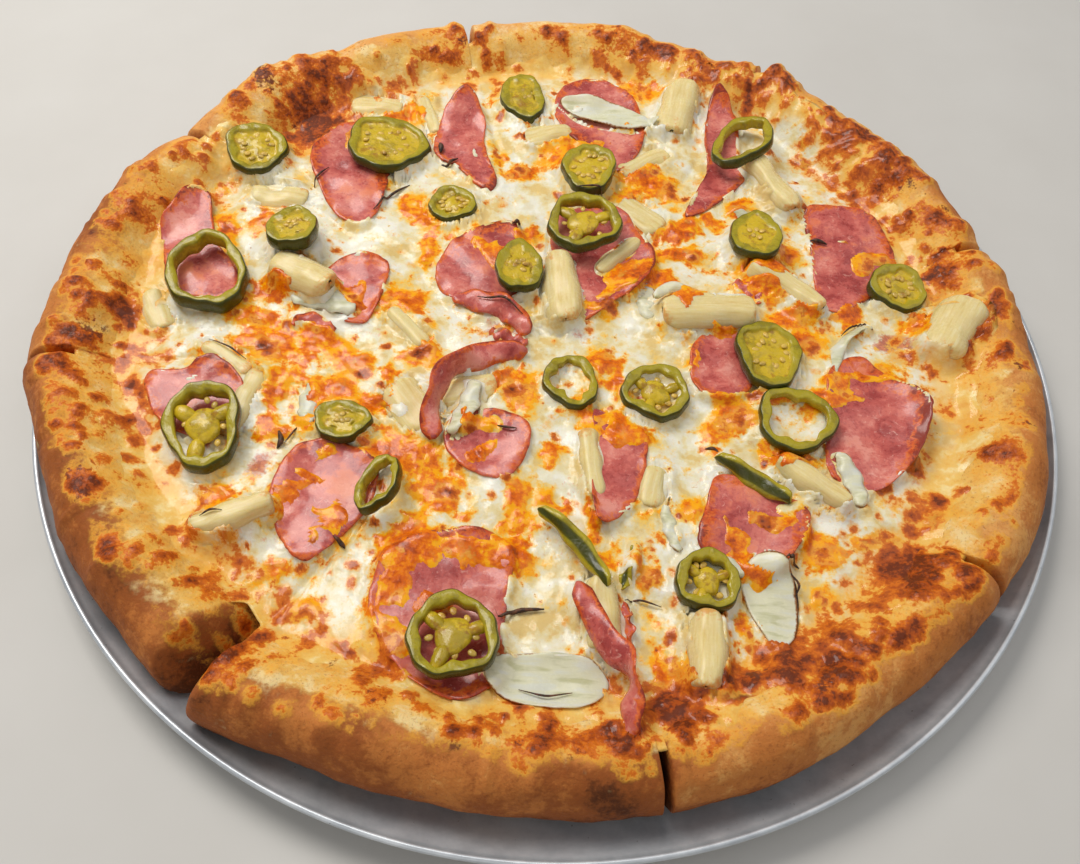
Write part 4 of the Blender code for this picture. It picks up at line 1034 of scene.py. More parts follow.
pineapple = {
    "height": 7.0, "sunkHeight": 5.2, "cheeseClimbs": 4.4, "cheeseClimbsSunk": 2.0, "along": 40, "round": 30,
    "pieces": (
        ("pineapple_01", 49, 132, 33, 17, 80), ("pineapple_02", 89, 86, 35, 12, -60),
        ("pineapple_03", -98, 12, 27, 15, -25), ("pineapple_04", -99, -94, 27, 10, 25),
        ("pineapple_05", 2, 17, 34, 14, 97), ("pineapple_06", 59, 10, 36, 16, 5),
        ("pineapple_07", 91, 27, 34, 11, -40), ("pineapple_08", 152, 9, 28, 18, 60),
        ("pineapple_09", 22, -117, 24, 11, 97), ("pineapple_10", 54, -127, 26, 12, 85),
        ("pineapple_11", 93, -63, 28, 10, -40),
    ),
    # chunks sunk in the cheese: x, y, length, width, turn
    "sunk": (
        (-88, 124, 23, 16, 0), (-9, 113, 22, 13, 20), (34, 99, 26, 12, 39), (33, 65, 23, 16, -40),
        (-151, -6, 20, 11, -60), (-29, -32, 21, 13, 20), (17, -61, 28, 9, 97), (38, -68, 16, 11, 80),
        (-55, -5, 23, 8, -45), (-49, -41, 23, 16, -50), (-109, -46, 30, 11, 80), (-119, 61, 24, 15, 0),
        (-64, 121, 27, 9, -70), (-119, -27, 23, 8, -33), (24, 39, 25, 7, 51),
    ),
}


def chunkParts(length, width, height, seed):
    # a bar of rounded, uneven sections with fibres along it
    even = np.linspace(-1, 1, pineapple["along"])
    along = 0.5 * np.sign(even) * (1 - (1 - np.abs(even)) ** 1.5)
    share = np.interp(along, (-0.5, -0.36, 0, 0.36, 0.5), (0.80, 1.0, 1.04, 0.95, 0.76))
    number = np.interp(along, (-0.5, -0.36, 0, 0.36, 0.5), (0, 1, 2, 3, 4))
    half = 0.5 * width * share * (1 + 0.06 * np.sin(2.3 * number + seed) + 0.12 * along * math.sin(3 * seed))
    tall = height * (0.80 + 0.20 * share)
    corner = np.clip((np.abs(along) * length - 0.5 * length + 2.2) / 2.2, 0, 1)
    tuck = 0.12 + 0.88 * (1 - corner**3) ** (1 / 3)
    lean = 0.05 * width * np.sin(seed + number)
    turn = np.linspace(0, 2 * math.pi, pineapple["round"], endpoint=False)
    cosT, sinT = np.cos(turn), np.sin(turn)
    across = np.sign(cosT) * np.abs(cosT) ** 0.5
    up = 0.5 + 0.5 * np.sign(sinT) * np.abs(sinT) ** 0.5
    narrow = 1 - 0.38 * smooth(up, 0.35, 1.05)
    y = (half * tuck)[:, None] * (across * narrow)[None] + lean[:, None] * up[None]
    z = tall[:, None] * (0.5 + (up - 0.5)[None] * (0.55 + 0.45 * tuck)[:, None])
    x = np.repeat((along * length)[:, None], len(turn), axis=1)
    points = np.stack([x, y, z], axis=2)
    fibre = lumps(points * (0.2, 1, 1), 1.8, 70 + seed) * 0.07 + lumps(points, 7, 90 + seed) * 0.9
    out = np.stack([0 * x, np.cos(turn)[None] + 0 * x, np.sin(turn)[None] + 0 * x], axis=2)
    points = (points + out * fibre[..., None]).reshape(-1, 3)
    count = len(turn)
    faces = [f[::-1] for f in gridFaces(len(along), count, wrap=True)]
    first = len(points)
    tips = [[way * (0.5 * length + 0.15), 0, 0.5 * height] for way in (-1, 1)]
    points = np.concatenate([points, tips])
    for k in range(count):
        m = (k + 1) % count
        faces.append([first, m, k])
        faces.append([first + 1, first - count + k, first - count + m])
    ends = np.append(np.repeat(0.5 - np.abs(along), count) * length, (3, 3))
    fields = {"along": points[:, 0].copy(), "across": points[:, 1].copy(), "height": points[:, 2].copy(),
              "ends": ends}
    return points, [f[::-1] for f in faces], fields


def turnedTo(points, x, y, turn):
    # turns a piece in the plane and moves it to its place
    cosT, sinT = heading(turn)
    return np.c_[x + points[:, 0] * cosT - points[:, 1] * sinT,
                 y + points[:, 0] * sinT + points[:, 1] * cosT, points[:, 2]]


def pineappleFinish():
    fruit = Finish("bakedPineapple", Subsurface_Weight=0.45, Subsurface_Scale=0.006, Roughness=0.34, IOR=1.4,
                   Specular_IOR_Level=0.35)
    fruit.shader.inputs["Subsurface Radius"].default_value = (1.0, 0.8, 0.3)
    placed = fruit.node("ShaderNodeCombineXYZ")
    fruit.put(fruit.math("MULTIPLY", fruit.field("along"), 0.09), placed.inputs[0])
    fruit.put(fruit.field("across"), placed.inputs[1])
    fruit.put(fruit.field("height"), placed.inputs[2])
    grain = fruit.node("ShaderNodeTexNoise")
    fruit.put(placed.outputs[0], grain.inputs["Vector"])
    grain.inputs["Scale"].default_value = 0.9
    grain.inputs["Detail"].default_value = 4
    fibre, fine, coarse = grain.outputs["Fac"], fruit.noise(1.2, 3), fruit.noise(9, 2)
    colour = fruit.ramp(fruit.add((fibre, 0.7), (coarse, 0.3)),
                        (0.28, (216, 188, 118)), (0.50, (226, 205, 146)), (0.70, (234, 219, 172)))
    toasted = fruit.add((fruit.field("ends"), -0.05), (fine, 0.8), (coarse, 1.3), (0.5, -1.02))
    colour = fruit.blend(fruit.math("MULTIPLY", fruit.step(toasted, 0.45, 0.75), 0.7), colour, (214, 140, 48))
    return fruit.finish(colour, fruit.add((fine, 0.25), (fibre, 0.12), (0.5, 0.16)), fibre, 0.25, 0.25)


pineappleSurface = pineappleFinish()
for number, (name, x, y, length, width, turn) in enumerate(pineapple["pieces"]):
    points, faces, fields = chunkParts(length, width, pineapple["height"], number)
    points = restLike(turnedTo(points, x, y, turn), name)
    piece = makePiece(name + "_chunk", points, faces, pineappleSurface, fields)
    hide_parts(name)
    keepHeights(points, faces, pineapple["cheeseClimbs"])
sunkParts = []
for number, (x, y, length, width, turn) in enumerate(pineapple["sunk"]):
    points, faces, fields = chunkParts(length, width, pineapple["sunkHeight"], 30 + number)
    points = turnedTo(points, x, y, turn)
    level = np.median(sample(stack, points[:, 0], points[:, 1]))
    points[:, 2] += level + cheese["sunkAbove"] - pineapple["sunkHeight"]
    sunkParts.append((points, faces, fields))
    keepHeights(points, faces, pineapple["cheeseClimbsSunk"])
points, faces, fields = joined(sunkParts)
makePiece("pineappleInCheese", points, faces, pineappleSurface, fields)
print("pineapple is laid")


# Onion: name, outline corners, cupping height

onion = {
    "thickness": 1.3, "sliverThickness": 1.1, "frill": 0.4, "cheeseClimbs": 1.0, "cheeseClimbsSlivers": 0.7,
    "around": 96, "shares": (0.985, 0.95, 0.87, 0.76, 0.64, 0.52, 0.40, 0.28, 0.14),
    "pieces": (
        ("onion_01", ((-5, 132), (6, 135), (20, 132), (32, 126), (40, 121), (33, 118), (18, 118),
                      (4, 123)), 2.5),
        ("onion_02", ((69, -95), (77, -92), (84, -101), (84, -116), (77, -124), (70, -114),
                      (67, -103)), 2.0),
        ("onion_03", ((-12, -135), (4, -131), (18, -132), (25, -139), (18, -147), (2, -148),
                      (-10, -144)), 2.0),
    ),
    # small petals and slivers: path, width, lean
    "slivers": (
        (((-101, 3), (-88, 4), (-76, -1)), 10, 8), (((72, 72), (80, 67), (92, 60)), 8, 20),
        (((103, -50), (107, -60), (109, -71)), 7, 12), (((124, 12), (113, 6), (107, -4), (105, -16)), 6, 45),
        (((42, -75), (44, -84), (47, -92)), 5, 10), (((36, 27), (35, 18), (37, 8)), 8, 15),
        (((53, -96), (61, -97), (69, -99)), 7, 6), (((-85, -34), (-86, -44), (-83, -54)), 7, 10),
        (((-27, -30), (-28, -42), (-33, -54)), 8, 20), (((38, 13), (42, 19), (53, 17), (60, 11)), 5, 20),
        (((106, -62), (110, -70), (113, -77)), 3, 10),
    ),
}


def onionFinish():
    petal = Finish("bakedOnion", Subsurface_Weight=0.4, Subsurface_Scale=0.004, Roughness=0.28, IOR=1.4,
                   Specular_IOR_Level=0.4)
    petal.shader.inputs["Subsurface Radius"].default_value = (1.0, 0.95, 0.6)
    fine, coarse = petal.noise(1.1, 3), petal.noise(12, 2)
    vein = petal.noise(2.4, 3, 0.5, stretch=(0.2, 1.0, 1.0))
    colour = petal.ramp(petal.add((vein, 0.7), (coarse, 0.3)),
                        (0.36, (196, 194, 154)), (0.50, (220, 217, 186)), (0.62, (218, 218, 200)))
    burnt = petal.add((petal.field("edge"), -0.42), (petal.field("roast"), 0.9), (coarse, 1.6),
                      (fine, 0.6), (0.5, -2.3))
    colour = petal.blend(petal.step(burnt, 0.10, 0.42), colour, (150, 96, 40))
    colour = petal.blend(petal.step(burnt, 0.34, 0.62), colour, (46, 28, 18))
    return petal.finish(colour, petal.add((fine, 0.2), (0.5, 0.32)),
                        petal.add((vein, 0.6), (fine, 0.2)), 0.4, 0.5)


onionSurface = onionFinish()
for number, (name, corners, cup) in enumerate(onion["pieces"]):
    points, faces, fields = leafParts(corners, onion["thickness"], cup, 90, onion["frill"], 200 + number,
                                      onion["around"], onion["shares"], ragged=0.15)
    piece = makePiece(name + "_petal", points, faces, onionSurface, fields)
    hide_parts(name)
    keepHeights(points, faces, onion["cheeseClimbs"])
slivers = [ribbonParts(path, width, lean, onion["sliverThickness"], seed=210 + k, wave=1.0)
           for k, (path, width, lean) in enumerate(onion["slivers"])]
points, faces, fields = joined(slivers)
makePiece("onionSlivers", points, faces, onionSurface, fields)
keepHeights(points, faces, onion["cheeseClimbsSlivers"])
print("onion is laid")


# Curled strips: name, kind, path, width, lean from flat in degrees. Shreds are small ones without a name

strips = {
    "cheeseClimbs": 1.4, "cheeseClimbsShreds": 0.9, "shredThickness": 1.6,
    "pieces": (
        ("ham_18", "ham", ((-40, 10), (-28, 9), (-16, 4), (-9, -5)), 10.0, 25),
        ("ham_19", "ham", ((-39, -57), (-42, -42), (-38, -28), (-24, -18), (-9, -14)), 11.0, 60),
        ("ham_20", "ham", ((14, -109), (19, -125), (28, -133), (34, -141), (29, -150), (32, -157)), 10.0, 62),
        ("jalapeno_22", "jalapeno", ((60, -55), (68, -61), (78, -67), (85, -71)), 7.0, 50),
        ("jalapeno_23", "jalapeno", ((0, -83), (9, -90), (17, -99), (24, -109)), 6.5, 40),
    ),
    "shreds": (
        ("ham", ((-99, -8), (-90, -6), (-82, -11)), 6, 30), ("ham", ((70, 29), (76, 26), (82, 20)), 7, 20),
        ("ham", ((-24, -6), (-16, -9), (-9, -10)), 6, 30),
        ("ham", ((29, -112), (31, -122), (31, -131)), 4, 70),
        ("jalapeno", ((33, -91), (31, -99), (28, -108)), 4.5, 40),
    ),
}


# Jalapeno: name, x, y, half width, half length, turn, thickness, form, tilt

jalapeno = {
    "around": 84, "cheeseClimbs": {"open": 1.4, "web": 1.8, "seeded": 3.4, "disc": 3.4},
    "pieces": (
        ("jalapeno_01", -132, 81, 12.5, 13.5, 0, 4.4, "seeded", 0),
        ("jalapeno_02", -78, 93, 17.5, 17.0, 0, 5.0, "seeded", 0),
        ("jalapeno_03", -46, 61, 10.0, 10.0, 0, 4.2, "seeded", 0),
        ("jalapeno_04", -105, 31, 10.0, 11.5, 0, 6.0, "disc", 0),
        ("jalapeno_05", -134, 9, 15.0, 19.0, 20, 6.5, "open", 0),
        ("jalapeno_06", -22, 134, 10.0, 16.0, 15, 5.0, "disc", 0),
        ("jalapeno_07", 10, 85, 11.5, 14.5, 0, 6.0, "seeded", 0),
        ("jalapeno_08", 77, 107, 12.0, 18.5, -28, 4.6, "open", 14),
        ("jalapeno_09", 9, 49, 15.0, 15.5, 0, 5.0, "web", 0),
        ("jalapeno_10", -15, 23, 9.5, 12.0, 0, 4.4, "disc", 0),
        ("jalapeno_11", 79, 50, 10.5, 14.0, 0, 4.4, "disc", 0),
        ("jalapeno_12", 135, 30, 11.5, 11.5, 0, 5.0, "seeded", 0),
        ("jalapeno_13", -117, -61, 13.0, 17.0, 15, 5.4, "web", 0),
        ("jalapeno_14", -71, -53, 10.0, 8.5, 0, 4.4, "disc", 0),
        ("jalapeno_15", -53, -79, 7.0, 11.5, -15, 4.4, "open", 18),
        ("jalapeno_16", -23, -130, 14.0, 14.0, 0, 5.4, "web", 0),
        ("jalapeno_17", 55, -104, 10.5, 10.5, 0, 5.4, "web", 0),
        ("jalapeno_18", 39, -29, 12.5, 12.0, 0, 5.0, "web", 0),
        ("jalapeno_19", 8, -27, 10.0, 12.0, 20, 4.4, "open", 0),
        ("jalapeno_20", 81, -9, 12.5, 16.0, 0, 5.0, "seeded", 0),
        ("jalapeno_21", 89, -38, 14.0, 14.0, 0, 4.0, "open", 0),
    ),
}


def blob(x, y, z, long, wide, tall, turn, tone, rings=7, count=12):
    # a closed rounded grain or core
    up = np.linspace(-0.5 * math.pi, 0.5 * math.pi, rings + 2)[1:-1]
    circle = np.linspace(0, 2 * math.pi, count, endpoint=False)
    u = np.cos(up)[:, None] * np.cos(circle)[None] * long
    v = np.cos(up)[:, None] * np.sin(circle)[None] * wide
    w = np.sin(up)[:, None] * tall + 0 * u
    points = np.stack([u, v, w], axis=2).reshape(-1, 3)
    points *= 1 + 0.16 * lumps(points + (7 * x, 7 * y, 0), 0.5 * long + 0.6, 45)[:, None]
    points = np.concatenate([points, [[0, 0, -tall], [0, 0, tall]]])
    faces = gridFaces(rings, count, wrap=True)
    low, high = rings * count, rings * count + 1
    for k in range(count):
        m = (k + 1) % count
        faces.append([low, m, k])
        faces.append([high, (rings - 1) * count + k, (rings - 1) * count + m])
    return turnedTo(points, x, y, turn) + (0, 0, z), faces, {"tone": tone}


def pepperParts(halfX, halfY, height, form, seed):
    # a slice of pepper: skin, thick wall, and pulp with seeds or a core held by webs
    count = jalapeno["around"]
    turn = np.linspace(0, 2 * math.pi, count, endpoint=False)
    out = 1 + 0.05 * np.sin(3 * turn + seed) + 0.03 * np.sin(5 * turn + 2 * seed)
    out = out + 0.015 * np.sin(11 * turn + seed)
    wall = min(3.1, 0.32 * min(halfX, halfY))
    rand = np.random.RandomState(300 + seed)

    def ring(share, inset, up):
        inset = inset * (0.88 + 0.26 * np.sin(4 * turn + 1.7 * seed) * (inset > 0)
                         + 0.12 * np.sin(9 * turn + seed))
        x = np.maximum(halfX * out * share - inset, 0.4) * np.cos(turn)
        y = np.maximum(halfY * out * share - inset, 0.4) * np.sin(turn)
        uneven = 0.30 * flatLumps(x, y, 2.8, 310 + seed) + 0.45 * flatLumps(x, y, 8, 311 + seed)
        z = up * height + uneven * (up > 0.2)
        return np.c_[x, y, z]

    # rings as share of the outline, distance inwards and share of the height
    skin = [(0.90, 0, 0), (0.965, 0, 0.07), (1.0, 0, 0.28), (1.005, 0, 0.52), (0.995, 0, 0.76),
            (0.975, 0, 0.93)]
    face = [(0.955, 0, 0.99), (0.945, 0.12, 1.01), (0.945, 0.4 * wall, 1.0), (0.945, 0.75 * wall, 0.98),
            (0.945, wall, 0.93)]
    tones = [0.0] * 6 + [0.15, 0.8, 1.0, 1.0, 1.15]
    parts = []
    if form in ("open", "web"):
        inner = [(0.945, wall * 1.05, 0.72), (0.945, wall, 0.4), (0.93, wall * 0.9, 0.05)]
        rings = [ring(*r) for r in skin + face + inner]
        faces = gridFaces(len(rings), count, wrap=True)
        last = (len(rings) - 1) * count
        for k in range(count):
            m = (k + 1) % count
            faces.append([last + k, last + m, m, k])
        parts.append((np.concatenate(rings), faces, {"tone": np.repeat(tones + [1.4, 1.4, 1.3], count)}))
    else:
        dip = (1.3 if form == "seeded" else 0.6) / height
        rings = [ring(*r) for r in skin + face]
        floorTones = [1.7, 2.0, 2.0, 2.0, 2.0, 2.0]
        for inset, down in ((0.5, 0.8), (1.1, 1.0)):
            rings.append(ring(0.945, wall + inset, 1 - dip * down))
        for share in (0.52, 0.38, 0.25, 0.12):
            made = ring(share, 0, 1 - dip * (0.55 + 0.5 * share))
            pulp = 0.55 * flatLumps(made[:, 0], made[:, 1], 2.3, 320 + seed)
            made[:, 2] += pulp * (1 if form == "seeded" else 0.5)
            rings.append(made)
        faces = gridFaces(len(rings), count, wrap=True)
        first = len(rings) * count
        faces += fan(first - count, count, first) + fan(0, count, first + 1, turned=True)
        spots = np.concatenate(rings + [[[0, 0, height * (1 - 0.6 * dip)], [0, 0, 0]]])
        parts.append((spots, faces, {"tone": np.append(np.repeat(tones + floorTones, count), (2.0, 0.0))}))
    if form == "web":
        parts.append(blob(0, 0, 0.45 * height, 0.46 * halfX, 0.40 * halfY, 0.42 * height,
                          30 * seed, 2.1, 9, 20))
        for webTurn in (25, 145, 250):
            webX, webY = heading(webTurn)
            parts.append(blob(0.56 * halfX * webX, 0.56 * halfY * webY, 0.45 * height,
                              0.36 * halfX, 0.17 * halfY, 0.36 * height, webTurn, 1.9, 7, 14))
    # number of seeds, how far out they lie, and their height
    seeds, near, far, level = {"seeded": (12, 0.34, 0.56, height - 1.0), "web": (8, 0.45, 0.6, 0.45 * height),
                               "disc": (5, 0.1, 0.3, height - 0.55), "open": (0, 0, 0, 0)}[form]
    for k in range(seeds):
        at = 2 * math.pi * (k + rand.uniform(-0.3, 0.3)) / seeds
        away = rand.uniform(near, far)
        parts.append(blob(away * halfX * math.cos(at), away * halfY * math.sin(at),
                          level + rand.uniform(-0.2, 0.3), 1.45, 1.1, 0.5,
                          math.degrees(at) + rand.uniform(-50, 50), 3.0, 5, 9))
    return joined(parts)


def jalapenoFinish():
    pepper = Finish("bakedJalapeno", Subsurface_Weight=0.15, Subsurface_Scale=0.003, Roughness=0.3, IOR=1.42,
                    Specular_IOR_Level=0.35, Coat_Weight=0.35, Coat_Roughness=0.1)
    pepper.shader.inputs["Subsurface Radius"].default_value = (0.7, 1.0, 0.2)
    fine, middling, coarse = pepper.noise(1.1, 4, 0.6), pepper.noise(3.4, 3), pepper.noise(16, 2)
    tone = pepper.add((pepper.field("tone"), 0.3333), (fine, 0.10), (middling, 0.08), (0.5, -0.18))
    colour = pepper.ramp(tone, (0.0, (66, 68, 8)), (0.10, (84, 82, 8)), (0.24, (156, 142, 24)),
                         (0.40, (178, 158, 32)), (0.62, (204, 172, 32)), (0.78, (218, 184, 48)),
                         (0.97, (220, 182, 84)))
    shade = pepper.swing((coarse, 1.4), (middling, 1.4), (fine, 0.6))
    colour = pepper.blend(pepper.step(shade, -0.05, 0.28), colour, pepper.blend(0.38, colour, (78, 70, 16)))
    browned = pepper.math("MULTIPLY", pepper.step(pepper.noise(5, 4, 0.65), 0.54, 0.66),
                          pepper.step(pepper.field("tone"), 1.2, 1.8))
    colour = pepper.blend(pepper.math("MULTIPLY", browned, 0.6), colour, (150, 92, 30))
    return pepper.finish(colour, pepper.add((fine, 0.25), (0.5, 0.24)),
                         pepper.add((fine, 0.5), (middling, 0.6)), 0.7, 0.8)


jalapenoSurface = jalapenoFinish()
stripKinds = {
    "ham": {"surface": hamSurface, "thickness": 1.3, "wave": 2.6},
    "jalapeno": {"surface": jalapenoSurface, "thickness": 2.2, "wave": 0.7},
}
for name, kind, path, width, lean in strips["pieces"]:
    own = stripKinds[kind]
    points, faces, fields = ribbonParts(path, width, lean, own["thickness"], cadSpots(name)[:, 2].min(),
                                        seed=230 + len(name), wave=own["wave"])
    if kind == "jalapeno":
        fields = {"tone": 1.3 * smooth(fields["edge"], 2.4, 0.6)}
    piece = makePiece(name + "_strip", points, faces, own["surface"], fields)
    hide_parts(name)
    keepHeights(points, faces, strips["cheeseClimbs"], mayCover=False)
for kind in stripKinds:
    parts = [ribbonParts(path, width, lean, strips["shredThickness"], seed=250 + k)
             for k, (stripKind, path, width, lean) in enumerate(strips["shreds"]) if stripKind == kind]
    points, faces, fields = joined(parts)
    if kind == "jalapeno":
        fields = {"tone": 1.3 * smooth(fields["edge"], 2.0, 0.5)}
    makePiece(kind + "Shreds", points, faces, stripKinds[kind]["surface"], fields)
    keepHeights(points, faces, strips["cheeseClimbsShreds"])
for number, (name, x, y, halfX, halfY, turn, height, form, tilt) in enumerate(jalapeno["pieces"]):
    points, faces, fields = pepperParts(halfX, halfY, height, form, number)
    cosTilt, sinTilt = heading(tilt)
    points = np.c_[points[:, 0] * cosTilt - points[:, 2] * sinTilt, points[:, 1],
                   points[:, 0] * sinTilt + points[:, 2] * cosTilt]
    points = turnedTo(points, x, y, turn)
    if tilt:
        points[:, 2] += cadSpots(name)[:, 2].min() - points[:, 2].min()
    else:
        points = restLike(points, name)
    piece = makePiece(name + "_round", points, faces, jalapenoSurface, fields)
    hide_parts(name)
    keepHeights(points, faces, jalapeno["cheeseClimbs"][form], mayCover=False)
print("jalapeno is laid")


# Melted cheese. Spots are x, y, long, wide, turn, strength

cheddarSpots = (
    (-75, 117, 10, 5, 15, 1.0), (-67, 119, 5, 7, 0, 1.0), (-96, 98, 3.5, 9, -10, 0.9),
    (-119, 46, 6, 5.5, 0, 1.0), (-135, 38, 4, 10, 25, 1.0), (-110, 7, 11, 4, 0, 1.0),
    (-61, 58, 11, 4, -50, 0.9), (-53, 33, 3, 10, 10, 0.85), (-28, 36, 7, 8, 20, 1.05),
    (-20, 87, 5.5, 5.5, 0, 1.0), (-28, 97, 4, 3, 0, 0.8), (6, 103, 15, 7, 12, 1.1),
    (-15, 47, 4, 6, 0, 0.9), (-57, 8, 9, 5, 10, 0.9), (-76, 11, 5, 6, 0, 1.0), (-75, 2, 5, 3, 0, 0.9),
    (24, 119, 3, 3.5, 60, 0.95), (33, 148, 8, 6, 0, 1.0), (36, 86, 13, 7, -12, 1.1),
    (27, 76, 6, 6, 0, 0.95), (48, 57, 10, 5, 35, 1.05), (52, 44, 9, 5, -5, 1.0), (64, 64, 4, 5, 0, 0.85),
    (77, 74, 6, 3, 20, 0.85), (93, 49, 7, 5, 0, 1.0), (126, 45, 9, 6, 25, 1.1), (84, 37, 6, 7, 40, 1.0),
    (80, 25, 8, 5, 20, 0.95), (92, 13, 11, 4, 12, 1.0), (28, 28, 14, 6, 57, 1.15), (18, 11, 6, 5, 30, 1.0),
    (52, 12, 6, 6, 0, 1.0), (97, 1, 8, 6, 0, 1.05), (114, 18, 6, 3, 20, 0.9), (143, 14, 5, 4, 40, 0.85),
    (43, 27, 6, 5, 0, 0.95), (-113, -6, 13, 5, -8, 1.05), (-106, -19, 10, 8, -20, 1.15),
    (-86, -16, 10, 6, -20, 1.1), (-74, -23, 10, 4, -8, 1.1), (-98, -40, 4.5, 9, 0, 1.0),
    (-97, -54, 4, 6, 0, 0.95), (-79, -37, 9, 6, 15, 1.1), (-68, -29, 6, 4, 10, 1.0),
    (-84, -48, 4, 5, 0, 0.9), (-57, -30, 3, 8, 0, 0.9), (-48, -17, 7, 5, 0, 1.0),
    (-11, -31, 7, 8, 0, 1.05), (-52, -60, 10, 6, 20, 1.1), (-43, -63, 6, 5, 0, 1.0),
    (-74, -66, 8, 3, 0, 1.0), (-82, -82, 6, 4, 60, 1.0), (-67, -88, 4.5, 10, 10, 1.1),
    (-76, -76, 10, 3.5, -10, 1.0), (-72, -97, 3.5, 4, 0, 0.9), (-36, -75, 10, 6, 0, 1.05),
    (-30, -80, 6, 4, 0, 1.0), (-7, -80, 3.5, 9, -15, 0.95), (-40, -99, 10, 9, 25, 1.15),
    (-21, -97, 13, 6, 0, 1.15), (-45, -112, 6, 13, 0, 1.15), (-8, -99, 5, 7, 0, 1.0),
    (-41, -130, 6, 9, 40, 1.1), (-22, -60, 6, 4, 20, 1.0), (-25, -50, 5, 4, 0, 1.0),
    (-109, -86, 5, 3, 0, 1.0), (-84, -112, 7, 4, 20, 0.95), (-69, -122, 5, 4, 0, 0.85),
    (-33, -118, 5, 3.5, 0, 0.9), (20, -14, 5, 5, 0, 1.0), (23, -24, 4, 6, 0, 1.0),
    (17, -43, 7, 4, -35, 1.05), (28, -46, 7, 5, 0, 1.1), (5, -58, 5, 4, 0, 0.9), (3, -75, 5, 4, -30, 0.9),
    (18, -84, 2.5, 7, 0, 1.0), (55, -12, 3, 6, 10, 0.95), (69, -36, 9, 6, 20, 1.1),
    (80, -26, 8, 3, -10, 0.95), (86, -53, 10, 3.5, -8, 1.0), (105, -25, 10, 5, 28, 1.1),
    (113, -15, 10, 5, 15, 1.1), (126, -14, 6, 4, -10, 0.95), (52, -76, 4, 4, 0, 0.9),
    (66, -86, 3.5, 10, 8, 1.1), (77, -79, 7, 5.5, 0, 1.1), (71, -98, 6, 4, -20, 1.0),
    (37, -101, 3.5, 8, 5, 1.0), (25, -97, 4, 4, 0, 0.9), (95, -88, 6, 5, 0, 0.85),
    (93, -103, 3, 4, 0, 0.85), (67, -118, 2.5, 4, 0, 0.85), (110, -82, 7, 3, 0, 0.85),
    (43, -136, 6, 6, 0, 0.9), (-143, 62, 4, 3, 0, 0.7), (13, 58, 4, 5, 0, 0.9), (-62, -42, 4, 5, 0, 0.9),
    (64, 2, 6, 2.5, 0, 0.8), (11, 82, 3, 3, 0, 0.8),
)
# brown spots on the cheese inside the rim
toastSpots = (
    (62, -138, 12, 6, 12, 1.1), (80, -131, 13, 7, 15, 1.2), (93, -138, 4, 10, 5, 1.1),
    (50, -143, 7, 6, 30, 0.9), (-106, -20, 6, 5, 0, 0.9), (-20, 87, 3, 3, 0, 0.9), (46, 83, 5, 4, 0, 0.9),
    (34, 59, 3, 3.5, 0, 1.0), (-119, 46, 3, 3, 0, 0.7), (104, 106, 4, 4, 0, 0.9), (106, 116, 4, 3, 0, 0.8),
    (123, 114, 4, 3, 0, 0.8), (106, 128, 4, 3, 0, 0.6), (92, 113, 2, 2, 0, 0.8), (145, 50, 4, 4, 0, 0.8),
    (143, 67, 3, 5, 0, 0.85), (-72, -89, 2, 2, 0, 0.7), (-69, -29, 5, 3, 0, 0.8), (-48, -18, 4, 3, 0, 0.8),
    (-10, -32, 5, 5, 0, 0.8), (-31, -77, 4, 4, 0, 0.75), (69, -36, 5, 3, 20, 0.75),
    (77, -80, 3.5, 3, 0, 0.9), (-25, -51, 4, 3, 0, 0.8), (20, 12, 4, 4, 0, 0.95), (98, 0, 5, 4, 0, 0.75),
    (126, 45, 4, 3, 0, 0.6), (37, -103, 3, 4, 0, 0.7), (-79, 84, 2, 2, 0, 0.4), (-62, -36, 2, 2, 0, 0.7),
    (-27, 67, 2, 3, 0, 0.6), (140, -16, 4, 3, 0, 0.75), (146, -24, 3, 4, 0, 0.65),
    (136, -34, 4, 4, 0, 0.7), (130, -50, 5, 6, 0, 0.85), (119, -63, 3, 3, 0, 0.75),
    (144, -62, 6, 3, 20, 0.8), (133, -73, 7, 4, 30, 0.85), (96, -88, 5, 4, 0, 0.6),
    (112, -83, 5, 3, 0, 0.7), (135, -3, 5, 4, 0, 0.8), (143, -7, 4, 3, 0, 0.75), (151, -3, 3, 2, 0, 0.6),
    (-99, -102, 4, 3, 0, 0.6), (-90, -112, 3, 2, 0, 0.7), (-108, -95, 3, 2, 0, 0.5),
    (-48, -141, 6, 4, 0, 0.9), (-58, -135, 5, 3, 0, 0.8), (-124, -48, 2, 2, 0, 0.5),
    (-135, -68, 2.5, 2, 0, 0.8), (-141, -75, 4, 3, 0, 0.8), (-146, -54, 3, 2, 0, 0.6),
)
sauceSpots = (
    (131, 5, 8, 5, 20, 1.0), (150, 30, 7, 5, 0, 1.0), (127, -54, 6, 4, 0, 0.9), (-97, -72, 3, 8, -15, 1.0),
    (-19, -5, 8, 4, -20, 0.9), (-117, -66, 3, 3, 0, 0.6), (125, 86, 8, 6, 0, 0.5), (112, 88, 5, 4, 0, 0.5),
    (-145, -40, 7, 4, 60, 0.45), (-104, -34, 3, 4, 0, 0.4), (148, -20, 6, 6, 0, 0.4),
    (38, -145, 4, 4, 0, 0.6), (-70, -20, 4, 3, 0, 0.4), (-68, -52, 2, 3, 0, 0.5), (10, -4, 6, 4, 0, 0.4),
    (-92, 18, 4, 3, 0, 0.4),
)
